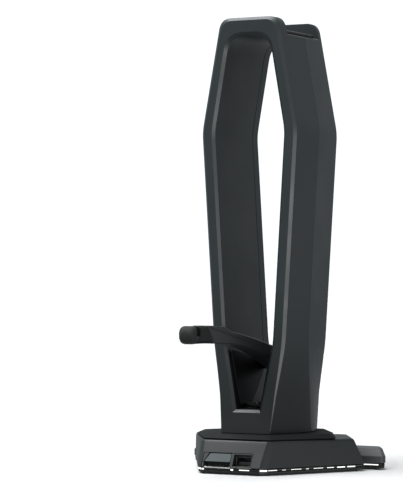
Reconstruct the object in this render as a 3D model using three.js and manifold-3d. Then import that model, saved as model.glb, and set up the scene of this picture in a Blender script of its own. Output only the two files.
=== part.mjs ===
// Gaming headphone stand: a hollow coffin-shaped tower with a padded saddle on top, a folding
// mouse-bungee arm in its lower passage, and a weighted USB hub base with a clear light rim.
// Millimetres. X is to the user's right, Y runs from front (-) to back (+), Z is up.
// The origin is on the table plane, under the tower's vertical axis.
import * as THREE from "three";
import { mergeVertices } from "three/addons/utils/BufferGeometryUtils.js";
import Module from "manifold-3d";

const wasm = await Module();
wasm.setup();

// ---- driving dimensions ----
const HEIGHT = 280;
const GAP = 0.3; // between neighbouring pieces
const WALL = 2.4; // moulded shells

// Tower: half-widths at five levels, for the front edge, the side ridge and the rear edge.
const LEVELS = { foot: 24, shin: 48, hip: 79, knee: 210, top: HEIGHT };
const FRONT_HALF = { foot: 16.8, shin: 19.6, hip: 24.8, knee: 33, top: 20 };
const RIDGE_HALF = { foot: 28.5, shin: 27.6, hip: 26.9, knee: 34.6, top: 21.6 };
const REAR_HALF = { foot: 18.8, shin: 20.4, hip: 24.8, knee: 33, top: 20 };
const TOWER_HALF_DEPTH = 30;
const FOOT_FLARE = 4; // how far the front face runs forward at the foot
const CHAMFER = 1.9; // round the front and rear faces
const LIP_CORNER = 7;
const KNEE_SOFT = 5;
const SPLIT_INNER_Y = 21.4; // parting line of the two shells inside the passage
const PARTING = 0.12; // half of the gap between the shells at the side ridge
const PASSAGE_WALL = 3; // the front shell's wall round the passage
const PASSAGE_CHAMFER = 1.8;

// Passage through the tower.
const SILL_Z = 38.5;
const PASSAGE = { sill: 8, shin: 9.9, hip: 16, knee: 24, arch: 13.6 };
const ARCH_Z = 269;
const ARCH_SOFT = 11;

// Saddle between the front lip and the rear lip.
const SADDLE_Z = 275;
const SADDLE_FRONT_Y = -21;
const SADDLE_REAR_Y = 24;
const SADDLE_CROWN = 62; // radius of the crowned rest
const PAD_THICK = 2;

// Mouse-bungee arm.
const PIVOT = { y: 12.5, z: 66.5 };
const ARM_HALF_WIDTH = 5.6;
const TIP_Y = -110.4;
const TIP_TOP = 91.4;
const TIP_BOTTOM = 80.6;
const CABLE_SLOT = 4.6;
const CRADLE_SCREW_Y = -17;

// Base stack.
const SOLE_TOP = 1.1;
const PLATE_TOP = 2.5;
const RING_BOTTOM = 2.6;
const RING_TOP = 4.2;
const COVER_BOTTOM = 4.4;
const SHOULDER_Z = 18.9;
const COVER_CEILING = 18.4; // underside of the cover's top
const LOWER_DECK_Z = 20.4;
const DECK_Z = 23.7;
const BAR_TOP = 13.2;
const BAR_FRONT_Y = 22;
const BASE_REAR_Y = 45;
const COVER_REAR_Y = 38;
const PORT_X = 43;

// ---- materials ----
const plastic = (color, roughness = 0.55) =>
  new THREE.MeshStandardMaterial({ color, roughness, metalness: 0 });
const metal = (color, roughness = 0.35) =>
  new THREE.MeshStandardMaterial({ color, roughness, metalness: 1 });
const CHARCOAL = plastic("#3a3d3e");
const DECK_GREY = plastic("#45494a");
const DARK = plastic("#1b1c1e", 0.4);
const RUBBER = plastic("#101112", 0.8);
const ACRYLIC = plastic("#e4ebec", 0.08);
const STEEL = metal("#b9bcbf");
const NICKEL = metal("#c9c9c4", 0.25);
const BOARD = plastic("#143c28", 0.5);
const CHIP = plastic("#16171a", 0.45);
const LED_WHITE = plastic("#f4f2e6", 0.3);
const TONGUE = plastic("#e6e6e2", 0.45);

// ---- solids ----
function toSolid(geometry) {
  const bare = geometry.clone();
  bare.deleteAttribute("normal");
  bare.deleteAttribute("uv");
  const merged = mergeVertices(bare, 1e-5);
  return new wasm.Manifold(new wasm.Mesh({
    numProp: 3,
    vertProperties: new Float32Array(merged.attributes.position.array),
    triVerts: new Uint32Array(merged.index.array),
  }));
}

function toGeometry(solid) {
  const mesh = solid.getMesh();
  const geometry = new THREE.BufferGeometry();
  geometry.setAttribute("position", new THREE.BufferAttribute(mesh.vertProperties, 3));
  geometry.setIndex(new THREE.BufferAttribute(mesh.triVerts, 1));
  geometry.computeVertexNormals();
  return geometry;
}

const group = new THREE.Group();

function addPart(parent, name, solid, material) {
  const part = new THREE.Mesh(toGeometry(solid), material);
  part.name = name;
  parent.add(part);
}

const union = (solids) => solids.reduce((sum, next) => sum.add(next));
const cut = (solid, ...tools) => tools.reduce((left, tool) => left.subtract(tool), solid);

function box(x0, x1, y0, y1, z0, z1) {
  const geometry = new THREE.BoxGeometry(x1 - x0, y1 - y0, z1 - z0);
  geometry.translate((x0 + x1) / 2, (y0 + y1) / 2, (z0 + z1) / 2);
  return toSolid(geometry);
}

// A cylinder or cone along "x", "y" or "z", from the point start, with its two radii.
function rod(axis, start, length, radius, endRadius = radius, sides = 14) {
  const geometry = new THREE.CylinderGeometry(endRadius, radius, length, sides);
  geometry.translate(0, length / 2, 0);
  if (axis === "x") geometry.rotateZ(-Math.PI / 2);
  if (axis === "z") geometry.rotateX(Math.PI / 2);
  geometry.translate(...start);
  return toSolid(geometry);
}

// A Y-Z outline, extruded along X from -half to +half, with its rim rounded by bevel.
function sidePlate(outline, half, bevel = 0) {
  const shape = new THREE.Shape(outline.map(([y, z]) => new THREE.Vector2(y, z)));
  const geometry = new THREE.ExtrudeGeometry(shape, {
    depth: 2 * (half - bevel),
    steps: 1,
    bevelEnabled: bevel > 0,
    bevelThickness: bevel,
    bevelSize: bevel,
    bevelOffset: -bevel,
    bevelSegments: 2,
  });
  geometry.translate(0, 0, bevel - half);
  geometry.applyMatrix4(new THREE.Matrix4().makeBasis(
    new THREE.Vector3(0, 1, 0), new THREE.Vector3(0, 0, 1), new THREE.Vector3(1, 0, 0)));
  return toSolid(geometry);
}

// An X-Z outline, extruded along Y.
function frontPlate(outline, y0, y1) {
  const shape = new THREE.Shape(outline.map(([x, z]) => new THREE.Vector2(x, z)));
  const geometry = new THREE.ExtrudeGeometry(shape, { depth: y1 - y0, bevelEnabled: false });
  geometry.applyMatrix4(new THREE.Matrix4().makeBasis(
    new THREE.Vector3(1, 0, 0), new THREE.Vector3(0, 0, 1), new THREE.Vector3(0, -1, 0)));
  geometry.translate(0, y1, 0);
  return toSolid(geometry);
}

// An X-Y outline, extruded along Z.
function slab(outline, z0, z1) {
  const shape = new THREE.Shape(outline.map(([x, y]) => new THREE.Vector2(x, y)));
  const geometry = new THREE.ExtrudeGeometry(shape, { depth: z1 - z0, bevelEnabled: false });
  geometry.translate(0, 0, z0);
  return toSolid(geometry);
}

function meshFrom(points, triangles) {
  const geometry = new THREE.BufferGeometry();
  geometry.setAttribute("position", new THREE.Float32BufferAttribute(points.flat(), 3));
  geometry.setIndex(triangles.flat());
  return toSolid(geometry);
}

// Skins a stack of closed loops that all have the same number of points.
function skin(loops) {
  const count = loops[0].length;
  const triangles = [];
  for (let k = 0; k + 1 < loops.length; k++) {
    for (let i = 0; i < count; i++) {
      const a = k * count + i;
      const b = k * count + (i + 1) % count;
      triangles.push([a, b, b + count], [a, b + count, a + count]);
    }
  }
  return triangles;
}

// A flat X-Y polygon at each height, joined into a frustum.
function frustum(sections) {
  const loops = sections.map(({ outline, z }) => outline.map(([x, y]) => [x, y, z]));
  const count = loops[0].length;
  const last = (loops.length - 1) * count;
  const flat = sections[0].outline.map(([x, y]) => new THREE.Vector2(x, y));
  const cap = THREE.ShapeUtils.triangulateShape(flat, []);
  const triangles = skin(loops);
  for (const [a, b, c] of cap) {
    triangles.push([c, b, a], [last + a, last + b, last + c]);
  }
  return meshFrom(loops.flat(), triangles);
}

// A tower-like body: each section lists the right-hand points from the bottom up, and the
// left-hand side mirrors them. Sections run from the rear to the front.
function mirroredBody(sections) {
  const loops = sections.map((right) => {
    const left = right.map(([x, y, z]) => [-x, y, z]).reverse();
    return [...right, ...left];
  });
  const count = loops[0].length;
  const last = (loops.length - 1) * count;
  const triangles = skin(loops);
  for (let i = 0; i + 1 < count / 2; i++) {
    const [a, b, c, d] = [i, i + 1, count - 2 - i, count - 1 - i];
    triangles.push([a, c, b], [a, d, c]);
    triangles.push([last + a, last + b, last + c], [last + a, last + c, last + d]);
  }
  return meshFrom(loops.flat(), triangles);
}

// ---- outlines ----
const lerp = THREE.MathUtils.lerp;

// Replaces the corner at index with a smooth curve that starts soft mm before it.
function softened(points, corners) {
  const result = [];
  points.forEach((point, index) => {
    const soft = corners[index] ?? 0;
    if (soft === 0) {
      result.push(point);
      return;
    }
    const corner = new THREE.Vector2(...point);
    const towards = (other) => {
      const target = new THREE.Vector2(...other);
      return corner.clone().add(target.sub(corner).setLength(soft));
    };
    const curve = new THREE.QuadraticBezierCurve(
      towards(points[index - 1]), corner, towards(points[index + 1] ?? [0, point[1]]));
    const steps = soft > KNEE_SOFT ? 6 : 3;
    curve.getPoints(steps).forEach((p) => result.push([p.x, p.y]));
  });
  return result;
}

// Moves every edge of a closed outline inwards by d.
function inset(outline, d) {
  const count = outline.length;
  return outline.map((point, i) => {
    const before = outline[(i + count - 1) % count];
    const after = outline[(i + 1) % count];
    const p = new THREE.Vector2(...point);
    const u = p.clone().sub(new THREE.Vector2(...before)).normalize();
    const v = new THREE.Vector2(...after).sub(p).normalize();
    const turn = u.x * v.y - u.y * v.x;
    const along = turn === 0 ? 0 : (1 - u.dot(v)) / turn;
    return [p.x - u.y * d - u.x * d * along, p.y + u.x * d - u.y * d * along];
  });
}

const mirrored = (right) => [...right, ...right.map(([x, y]) => [-x, y]).reverse()];

// The tower's right-hand outline in X-Z, shrunk by trim on the sides and the top.
function towerSide(half, trim = 0, footZ = LEVELS.foot) {
  const points = ["foot", "shin", "hip", "knee", "top"].map((level) => [
    half[level] - trim,
    level === "foot" ? footZ : LEVELS[level] - (level === "top" ? trim : 0),
  ]);
  return softened(points, { 2: KNEE_SOFT, 3: KNEE_SOFT, 4: LIP_CORNER });
}

function passageSide(grow = 0) {
  const points = [
    [PASSAGE.sill + grow, SILL_Z - grow],
    [PASSAGE.shin + grow, LEVELS.shin],
    [PASSAGE.hip + grow, LEVELS.hip],
    [PASSAGE.knee + grow, LEVELS.knee],
    [PASSAGE.arch + grow, ARCH_Z + grow],
  ];
  return softened(points, { 2: KNEE_SOFT, 3: KNEE_SOFT, 4: ARCH_SOFT });
}

// The front face is upright above the hip and runs forward towards the foot.
function frontY(z) {
  const drop = Math.max(0, (LEVELS.hip - z) / (LEVELS.hip - LEVELS.foot));
  return -TOWER_HALF_DEPTH - FOOT_FLARE * drop * drop;
}

const atY = (outline, y) =>
  outline.map(([x, z]) => [x, typeof y === "function" ? y(z) : y, z]);

// ---- tower ----
function towerBlock() {
  return mirroredBody([
    atY(towerSide(REAR_HALF, CHAMFER), TOWER_HALF_DEPTH),
    atY(towerSide(REAR_HALF), TOWER_HALF_DEPTH - CHAMFER),
    atY(towerSide(RIDGE_HALF), 0),
    atY(towerSide(FRONT_HALF), (z) => frontY(z) + CHAMFER),
    atY(towerSide(FRONT_HALF, CHAMFER), frontY),
  ]);
}

function passageHole(grow, rearY) {
  const edge = PASSAGE_CHAMFER;
  const flared = grow === 0;
  return mirroredBody([
    atY(passageSide(grow), rearY),
    atY(passageSide(grow), (z) => frontY(z) + edge),
    atY(passageSide(flared ? edge : grow), frontY),
    atY(passageSide(flared ? edge + 1 : grow), (z) => frontY(z) - 1),
  ]);
}

const CAVITY_TOP = 262;
const CAVITY_FLOOR = 27.4;

function towerCavity() {
  const hollow = mirroredBody([
    atY(towerSide(REAR_HALF, WALL, CAVITY_FLOOR), TOWER_HALF_DEPTH - WALL),
    atY(towerSide(RIDGE_HALF, WALL, CAVITY_FLOOR), 0),
    atY(towerSide(FRONT_HALF, WALL, CAVITY_FLOOR), (z) => frontY(z) + WALL),
  ]);
  return cut(
    hollow,
    passageHole(2.2, TOWER_HALF_DEPTH),
    box(-60, 60, -60, 60, CAVITY_TOP, HEIGHT + 20),
  );
}

// The crowned rest, as the X-Z band between two heights above the crown.
function saddleBand(low, high) {
  const arc = (offset) => {
    const points = [];
    for (let x = -30; x <= 30; x += 5) {
      points.push([x, SADDLE_Z + offset - (x * x) / (2 * SADDLE_CROWN)]);
    }
    return points;
  };
  return [...arc(low), ...arc(high).reverse()];
}

const SCREW_LEVELS = [252, 188, 122, 64];
const BOSS_RADIUS = 2.5;
const BOSS_SPLIT_Y = 10;
const SCREW_HEAD_Y = 22;

function bossX(z) {
  const between = (a, b, low, high) => lerp(a, b, (z - low) / (high - low));
  const { hip, knee, top } = LEVELS;
  if (z > knee) {
    return (between(FRONT_HALF.knee, FRONT_HALF.top, knee, top)
      + between(PASSAGE.knee, PASSAGE.arch, knee, ARCH_Z)) / 2;
  }
  if (z > hip) {
    return (between(FRONT_HALF.hip, FRONT_HALF.knee, hip, knee)
      + between(PASSAGE.hip, PASSAGE.knee, hip, knee)) / 2;
  }
  return (between(FRONT_HALF.shin, FRONT_HALF.hip, LEVELS.shin, hip)
    + between(PASSAGE.shin, PASSAGE.hip, LEVELS.shin, hip)) / 2;
}

const SCREW_SPOTS = SCREW_LEVELS.flatMap((z) => [[bossX(z), z], [-bossX(z), z]]);
const FOOT_SPOTS = [[9, -16], [-9, -16], [9, 16], [-9, 16]];

function towerShells() {
  const block = cut(
    towerBlock(),
    passageHole(0, TOWER_HALF_DEPTH + 2),
    frontPlate(saddleBand(-PAD_THICK, 30), SADDLE_FRONT_Y, SADDLE_REAR_Y),
  );
  const shell = block.subtract(towerCavity());
  const frontBosses = union(SCREW_SPOTS.map(([x, z]) =>
    rod("y", [x, -TOWER_HALF_DEPTH + 1, z], TOWER_HALF_DEPTH - 1 + BOSS_SPLIT_Y, BOSS_RADIUS,
      BOSS_RADIUS, 10)));
  const rearBosses = union(SCREW_SPOTS.map(([x, z]) =>
    rod("y", [x, BOSS_SPLIT_Y + GAP, z], TOWER_HALF_DEPTH - 1 - BOSS_SPLIT_Y, BOSS_RADIUS,
      BOSS_RADIUS, 10)));
  const footBosses = union(FOOT_SPOTS.map(([x, y]) =>
    rod("z", [x, y, LEVELS.foot + 0.5], 9, 3)));
  const pilotHoles = union(SCREW_SPOTS.map(([x, z]) =>
    rod("y", [x, -4, z], TOWER_HALF_DEPTH + 6, 1.25)));
  const headHoles = union(SCREW_SPOTS.map(([x, z]) =>
    rod("y", [x, SCREW_HEAD_Y, z], 12, 2.1)));
  const footHoles = union([
    ...FOOT_SPOTS.map(([x, y]) => rod("z", [x, y, LEVELS.foot - 1], 10, 1.35)),
    rod("z", [0, CRADLE_SCREW_Y, 30], 12, 1.35),
  ]);
  const cradleBoss = rod("z", [0, CRADLE_SCREW_Y, 30], 7.5, 3);
  const innerFront = passageHole(PASSAGE_WALL, SPLIT_INNER_Y);
  const innerRear = passageHole(PASSAGE_WALL + GAP, SPLIT_INNER_Y + GAP);
  const frontZone = box(-60, 60, -60, -PARTING, 0, 300).add(innerFront);
  const rearZone = box(-60, 60, PARTING, 60, 0, 300).subtract(innerRear);
  const pins = block.intersect(frontBosses);
  const front = cut(
    shell.intersect(frontZone).add(pins).add(cradleBoss)
      .add(footBosses.intersect(box(-60, 60, -60, -0.2, 0, 60))),
    passageHole(0, TOWER_HALF_DEPTH + 2), pilotHoles, footHoles,
  );
  const sockets = block.intersect(rearBosses).subtract(innerRear);
  const rear = cut(
    shell.intersect(rearZone).add(sockets).add(footBosses.intersect(box(-60, 60, 0.2, 60, 0, 60))),
    passageHole(0, TOWER_HALF_DEPTH + 2), pilotHoles, headHoles, footHoles,
  );
  return { front, rear };
}

function saddlePad() {
  const band = frontPlate(saddleBand(-PAD_THICK + GAP / 2, 0),
    SADDLE_FRONT_Y + GAP, SADDLE_REAR_Y - GAP);
  const footprint = mirroredBody([
    atY(towerSide(RIDGE_HALF, 2.6), SADDLE_REAR_Y + 2),
    atY(towerSide(RIDGE_HALF, 2.6), SADDLE_FRONT_Y - 2),
  ]);
  return band.intersect(footprint);
}

// Pan-head screw: point the thread along the axis from the head's seat.
function screw(axis, seat, sign, headRadius, headHeight, shankRadius, length) {
  const step = { x: [1, 0, 0], y: [0, 1, 0], z: [0, 0, 1] }[axis].map((v) => v * sign);
  const move = (distance) => seat.map((v, i) => v + step[i] * distance);
  const startOf = (a, b) => (sign > 0 ? move(a) : move(b));
  const head = rod(axis, startOf(-headHeight, 0), headHeight, headRadius, headRadius, 12);
  const shank = rod(axis, startOf(-0.1, length), length + 0.1, shankRadius, shankRadius, 8);
  return head.add(shank);
}

const towerScrews = () => SCREW_SPOTS.map(([x, z]) =>
  screw("y", [x, SCREW_HEAD_Y + 0.05, z], -1, 1.9, 1.6, 1.1, 22));

const footScrews = () => FOOT_SPOTS.map(([x, y]) =>
  screw("z", [x, y, COVER_CEILING - 0.05], 1, 2.6, 1.6, 1.2, 14));

// ---- mouse-bungee arm ----
// Top and bottom edges of the blade from the knuckle forward.
const BLADE_TOP = [[10, 71.4], [0, 75.6], [-12, 78.6], [-34, 83], [-52, 86], [-61, 87.2]];
const BLADE_BOTTOM = [[-61, 79.6], [-43, 77.4], [-29, 74.2], [-12, 68.6], [2, 63.2], [9, 61.2]];
const SLEEVE_REAR_Y = -71;
const JOINT_TOP_Y = -93;
const JOINT_BOTTOM_Y = -84;

function smooth(points, steps) {
  const curve = new THREE.SplineCurve(points.map(([y, z]) => new THREE.Vector2(y, z)));
  return curve.getPoints(steps).map((p) => [p.x, p.y]);
}

function bladeOutline() {
  return [
    ...smooth(BLADE_TOP, 12),
    [SLEEVE_REAR_Y, 90.6],
    [JOINT_TOP_Y + GAP, TIP_TOP + 0.1],
    [JOINT_BOTTOM_Y + GAP, TIP_BOTTOM - 0.1],
    ...smooth(BLADE_BOTTOM, 12),
  ].reverse();
}

function bungeeArm() {
  const blade = sidePlate(bladeOutline(), ARM_HALF_WIDTH, 1);
  const knuckle = rod("x", [-ARM_HALF_WIDTH, PIVOT.y, PIVOT.z], 2 * ARM_HALF_WIDTH, 5.6, 5.6, 28);
  const bore = rod("x", [-10, PIVOT.y, PIVOT.z], 20, 1.7, 1.7, 20);
  return blade.add(knuckle).subtract(bore);
}

const SLOT_FRONT_Y = -105.4;
const SLOT_FLOOR_Z = 84.8;

function armTipBody() {
  const rear = [[JOINT_BOTTOM_Y, TIP_BOTTOM], [JOINT_TOP_Y, TIP_TOP]];
  const outline = [
    [SLOT_FRONT_Y + CABLE_SLOT, TIP_TOP],
    [SLOT_FRONT_Y + CABLE_SLOT, SLOT_FLOOR_Z],
    [SLOT_FRONT_Y + 1.5, SLOT_FLOOR_Z],
    [SLOT_FRONT_Y + 1.5, TIP_BOTTOM],
    ...rear,
  ];
  const body = sidePlate(outline, ARM_HALF_WIDTH - 0.1, 0.6);
  return body.add(box(-2.4, 2.4, SLOT_FRONT_Y - 1.4, SLOT_FRONT_Y + 2.6, 81.8, 84));
}

function armTipCap() {
  const back = SLOT_FRONT_Y + 1.5 - GAP;
  const step = SLOT_FRONT_Y;
  const nose = new THREE.QuadraticBezierCurve(
    new THREE.Vector2(TIP_Y + 2.6, TIP_BOTTOM + 0.2), new THREE.Vector2(TIP_Y - 1.4, 84),
    new THREE.Vector2(TIP_Y + 1.4, TIP_TOP)).getPoints(8).map((p) => [p.x, p.y]);
  const outline = [
    ...nose,
    [step, TIP_TOP],
    [step, SLOT_FLOOR_Z - GAP],
    [back, SLOT_FLOOR_Z - GAP],
    [back, TIP_BOTTOM],
  ].reverse();
  const cap = sidePlate(outline, ARM_HALF_WIDTH, 1);
  return cap.subtract(box(-2.4 - GAP / 2, 2.4 + GAP / 2, SLOT_FRONT_Y - 1.4 - GAP / 2, 0,
    81.8 - GAP / 2, 84 + GAP / 2));
}

// Side profile of a cradle cheek, front edge first.
const CHEEK = [[-26.5, 39.2], [-12, 39.2], [-9, 44], [-1.5, 49], [12.2, 61], [12.6, 64],
  [4, 68.2], [-10, 72.4], [-26.5, 75.5]];
const CRADLE_FLOOR_TOP = 41.4;
const EAR_RADIUS = 4.6;

function passagePlug(trim, y0, y1) {
  return mirroredBody([atY(passageSide(-trim), y1), atY(passageSide(-trim), y0)]);
}

function armCradle() {
  const profile = sidePlate(CHEEK, 30);
  const ears = rod("x", [-20, PIVOT.y, PIVOT.z], 40, EAR_RADIUS, EAR_RADIUS, 24);
  const outer = profile.add(ears).intersect(passagePlug(GAP, -26.5, 20));
  const channel = passagePlug(2, -40, 30).intersect(box(-30, 30, -40, 40, CRADLE_FLOOR_TOP, 90));
  const bossInner = ARM_HALF_WIDTH + 1.4;
  const bosses = ears.intersect(passagePlug(GAP, -26.5, 20))
    .subtract(box(-bossInner, bossInner, -40, 40, 30, 90));
  const cheeks = outer.subtract(channel).subtract(box(-20, 20, -27, -20, 38, CRADLE_FLOOR_TOP));
  const bore = rod("x", [-11.4, PIVOT.y, PIVOT.z], 22.8, 1.65, 1.65, 20);
  const screwHole = rod("z", [0, CRADLE_SCREW_Y, 36], 8, 1.4);
  return cut(cheeks.add(bosses), bore, screwHole);
}

const cradleScrew = () =>
  screw("z", [0, CRADLE_SCREW_Y, CRADLE_FLOOR_TOP + 0.05], -1, 2.2, 1.3, 1.2, 9);

const pivotPin = () => rod("x", [-11.2, PIVOT.y, PIVOT.z], 22.4, 1.5, 1.5, 20);

const pivotWasher = (x) => rod("x", [x, PIVOT.y, PIVOT.z], 0.8, 3.8, 3.8, 24)
  .subtract(rod("x", [x - 1, PIVOT.y, PIVOT.z], 3, 1.8, 1.8, 20));

// ---- base outlines, right-hand halves from front to rear ----
const COVER_FOOT = [[20, -54.2], [24.2, -50.6], [59.7, 11.6], [43.6, COVER_REAR_Y]];
const COVER_SHOULDER = [[21.4, -47.4], [25.2, -44.2], [55.8, 4.9], [36, COVER_REAR_Y]];
const COVER_TOP = [[21.4, -46.4], [24.4, -43.6], [55, 4.3], [35, COVER_REAR_Y - 1]];
const COLLAR_FOOT = [[21, -45.8], [24, -43.2], [49, -7], [25.6, 37]];
const COLLAR_TOP = [[19.4, -42.6], [22.2, -40.2], [43.8, -5.3], [20, 34.6]];
const BAR_FOOT = [[66.2, BAR_FRONT_Y], [67.7, 24.6], [57.2, 42.8], [54, BASE_REAR_Y]];
const BAR_CROWN = [[62.6, 26.4], [63.8, 28.5], [56, 42], [53, 43.4]];
const BAR_ROOT = [52, BAR_FRONT_Y]; // where a wing meets the cover's shoulder
const NOSE_AND_FLANK = COVER_FOOT.slice(0, 3);
const FOOTPRINT = mirrored([...NOSE_AND_FLANK, BAR_ROOT, ...BAR_FOOT]);
const PLAIN_FOOTPRINT = mirrored([...NOSE_AND_FLANK, BAR_ROOT, [69, BAR_FRONT_Y],
  [55.8, BASE_REAR_Y]]);

function coverBlock(grow = 0) {
  const loop = (right) => inset(mirrored(right), -grow);
  const skirt = grow > 0 ? [{ outline: loop(COVER_FOOT), z: 0 }] : [];
  return frustum([
    ...skirt,
    { outline: loop(COVER_FOOT), z: COVER_BOTTOM },
    { outline: loop(COVER_SHOULDER), z: SHOULDER_Z + grow },
    { outline: loop(COVER_TOP), z: LOWER_DECK_Z + grow },
  ]);
}

const FRONT_SLOPE = (COVER_SHOULDER[0][1] - COVER_FOOT[0][1]) / (SHOULDER_Z - COVER_BOTTOM);
const frontFaceY = (z) => COVER_FOOT[0][1] + FRONT_SLOPE * (z - COVER_BOTTOM);

// Front bay that holds the light key and a port.
const BAY = { x0: -19.9, x1: 14, z0: COVER_BOTTOM, z1: 13.2 };
const WING_SCREW_SPOTS = [[54, 30.5], [-54, 30.5]];
const BASE_SCREW_SPOTS = [[22, -38], [-22, -38], [44, 6], [-44, 6], [26, 31], [-26, 31]];

function baseCover() {
  const inner = frustum([
    { outline: inset(mirrored(COVER_FOOT), WALL), z: 0 },
    { outline: inset(mirrored(COVER_FOOT), WALL), z: COVER_BOTTOM },
    { outline: inset(mirrored(COVER_SHOULDER), WALL), z: COVER_CEILING },
  ]);
  const posts = union(BASE_SCREW_SPOTS.map(([x, y]) => rod("z", [x, y, COVER_BOTTOM], 14, 3)));
  const boreholes = union(BASE_SCREW_SPOTS.map(([x, y]) => rod("z", [x, y, 0], 16.5, 1.4)));
  const footHoles = union(FOOT_SPOTS.map(([x, y]) => rod("z", [x, y, 10], 20, 1.6)));
  const bay = box(BAY.x0, BAY.x1, -70, -40, 0, BAY.z1);
  const boardWindow = box(-62, 62, 23, 60, 0, 12.4);
  return cut(
    coverBlock().subtract(inner).add(posts.intersect(coverBlock())),
    boreholes, footHoles, bay, boardWindow,
  );
}

function deckCollar() {
  const solid = frustum([
    { outline: mirrored(COLLAR_FOOT), z: LOWER_DECK_Z + 0.2 },
    { outline: mirrored(COLLAR_TOP), z: DECK_Z },
  ]);
  const footHoles = union(FOOT_SPOTS.map(([x, y]) => rod("z", [x, y, 10], 20, 1.6)));
  return solid.subtract(footHoles);
}

function barBlock(trim = 0) {
  const loop = (right) => inset(mirrored(right), trim);
  return frustum([
    { outline: loop(BAR_FOOT), z: trim > 0 ? 0 : COVER_BOTTOM },
    { outline: loop(BAR_FOOT), z: 8.6 },
    { outline: loop(BAR_CROWN), z: BAR_TOP - trim },
  ]);
}

const PORT = { half: 6.6, z0: 5, z1: 10.8, depth: 13.5 };
const INLET = { half: 4.5, z0: 6.2, z1: 9.5, depth: 7 };

function rearBar() {
  const shell = cut(barBlock(), barBlock(2), coverBlock(GAP));
  const openings = [-PORT_X, PORT_X].map((x) =>
    box(x - PORT.half - 0.1, x + PORT.half + 0.1, 40, 50, PORT.z0 - 0.1, PORT.z1 + 0.1));
  const inletOpening = box(-INLET.half - 0.1, INLET.half + 0.1, 40, 50, INLET.z0 - 0.1,
    INLET.z1 + 0.1);
  const posts = union(WING_SCREW_SPOTS.map(([x, y]) => rod("z", [x, y, COVER_BOTTOM], 8, 2.6)));
  const bores = union(WING_SCREW_SPOTS.map(([x, y]) => rod("z", [x, y, 0], 11, 1.4)));
  return cut(shell.add(posts), ...openings, inletOpening, bores);
}

const KEY = { x0: -19, x1: -0.9, z0: 7.6, z1: 12.6, slant: 3.4 };

// The key's X-Z outline, with its slanted left end, grown on all sides.
const keyOutline = (grow = 0) => [
  [KEY.x0 - grow, KEY.z0 - grow], [KEY.x1 + grow, KEY.z0 - grow],
  [KEY.x1 + grow, KEY.z1 + grow], [KEY.x0 + KEY.slant - grow, KEY.z1 + grow],
];

const KEY_GUIDE = { x: -14.5, z: 10.2 };
const KEY_STEM = { x: -8, z: 10.2 };
const BEZEL_BACK_Y = -47.6;
const KEY_BACK_Y = BEZEL_BACK_Y - 1.6;
const PORT_FRONT = { x: 7.3, front: -47.4 };

// Sloped plate that follows the cover's front face at a set-back, between two heights.
function slopedPlate(x0, x1, z0, z1, setBack, backY) {
  const outline = [
    [frontFaceY(z0) + setBack, z0], [backY, z0], [backY, z1], [frontFaceY(z1) + setBack, z1],
  ];
  const plate = sidePlate(outline, (x1 - x0) / 2);
  return plate.translate([(x0 + x1) / 2, 0, 0]);
}

function frontBezel() {
  const { x0, x1, z0, z1 } = BAY;
  const block = slopedPlate(x0 + GAP, x1 - GAP, z0 + 0.1, z1 - GAP, 0.2, BEZEL_BACK_Y + 2);
  const keyWell = frontPlate(keyOutline(0.4), -70, BEZEL_BACK_Y);
  const slotWell = box(x0 + 1.2, KEY.x1 + 0.5, -70, BEZEL_BACK_Y - 1, 0, KEY.z0 - 0.1);
  const portWell = box(1.2, 13.4, -70, PORT_FRONT.front - 0.6, z0 + 0.9, z1 - 0.9);
  const portHole = box(PORT_FRONT.x - PORT.half - 0.2, PORT_FRONT.x + PORT.half + 0.2,
    PORT_FRONT.front - 0.7, -40, PORT.z0 - 0.2, PORT.z1 + 0.2);
  const plungerHole = rod("y", [KEY_STEM.x, -60, KEY_STEM.z], 30, 1.7);
  const guideHole = rod("y", [KEY_GUIDE.x, -60, KEY_GUIDE.z], 30, 1.1);
  return cut(block, keyWell, slotWell, portWell, portHole, plungerHole, guideHole);
}

function lightKey() {
  const plate = slopedPlate(KEY.x0, KEY.x1, KEY.z0, KEY.z1, 0.5, KEY_BACK_Y)
    .intersect(frontPlate(keyOutline(), -70, -40));
  const stem = rod("y", [KEY_STEM.x, KEY_BACK_Y - 0.2, KEY_STEM.z], 3.6, 1.4);
  const guide = rod("y", [KEY_GUIDE.x, KEY_BACK_Y - 0.2, KEY_GUIDE.z], 4.6, 0.8, 0.8, 12);
  return union([plate, stem, guide]);
}

class Coil extends THREE.Curve {
  constructor(radius, turns, length) {
    super();
    this.radius = radius;
    this.turns = turns;
    this.length = length;
  }

  getPoint(t, target = new THREE.Vector3()) {
    const angle = t * this.turns * 2 * Math.PI;
    return target.set(
      this.radius * Math.cos(angle), this.length * t, this.radius * Math.sin(angle));
  }
}

function keySpring() {
  const section = new THREE.Shape();
  section.absarc(0, 0, 0.14, 0, 2 * Math.PI);
  const geometry = new THREE.ExtrudeGeometry(section, {
    steps: 36, curveSegments: 3, bevelEnabled: false, extrudePath: new Coil(1.25, 3, 1.1),
  });
  geometry.translate(KEY_GUIDE.x, KEY_BACK_Y + 0.25, KEY_GUIDE.z);
  return toSolid(geometry);
}

const SWITCH_Y = KEY_BACK_Y + 4.1;
const FRONT_BOARD_Z = 11.3;

function keySwitch() {
  const { x, z } = KEY_STEM;
  const body = box(x - 3, x + 3, SWITCH_Y + 0.6, SWITCH_Y + 4.4, 7.6, FRONT_BOARD_Z - 0.2);
  return body.add(rod("y", [x, SWITCH_Y, z], 1, 1.5));
}

function frontBoard() {
  return box(-17, 13.4, -43.4, -34.4, FRONT_BOARD_Z, FRONT_BOARD_Z + 1.2);
}

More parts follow.
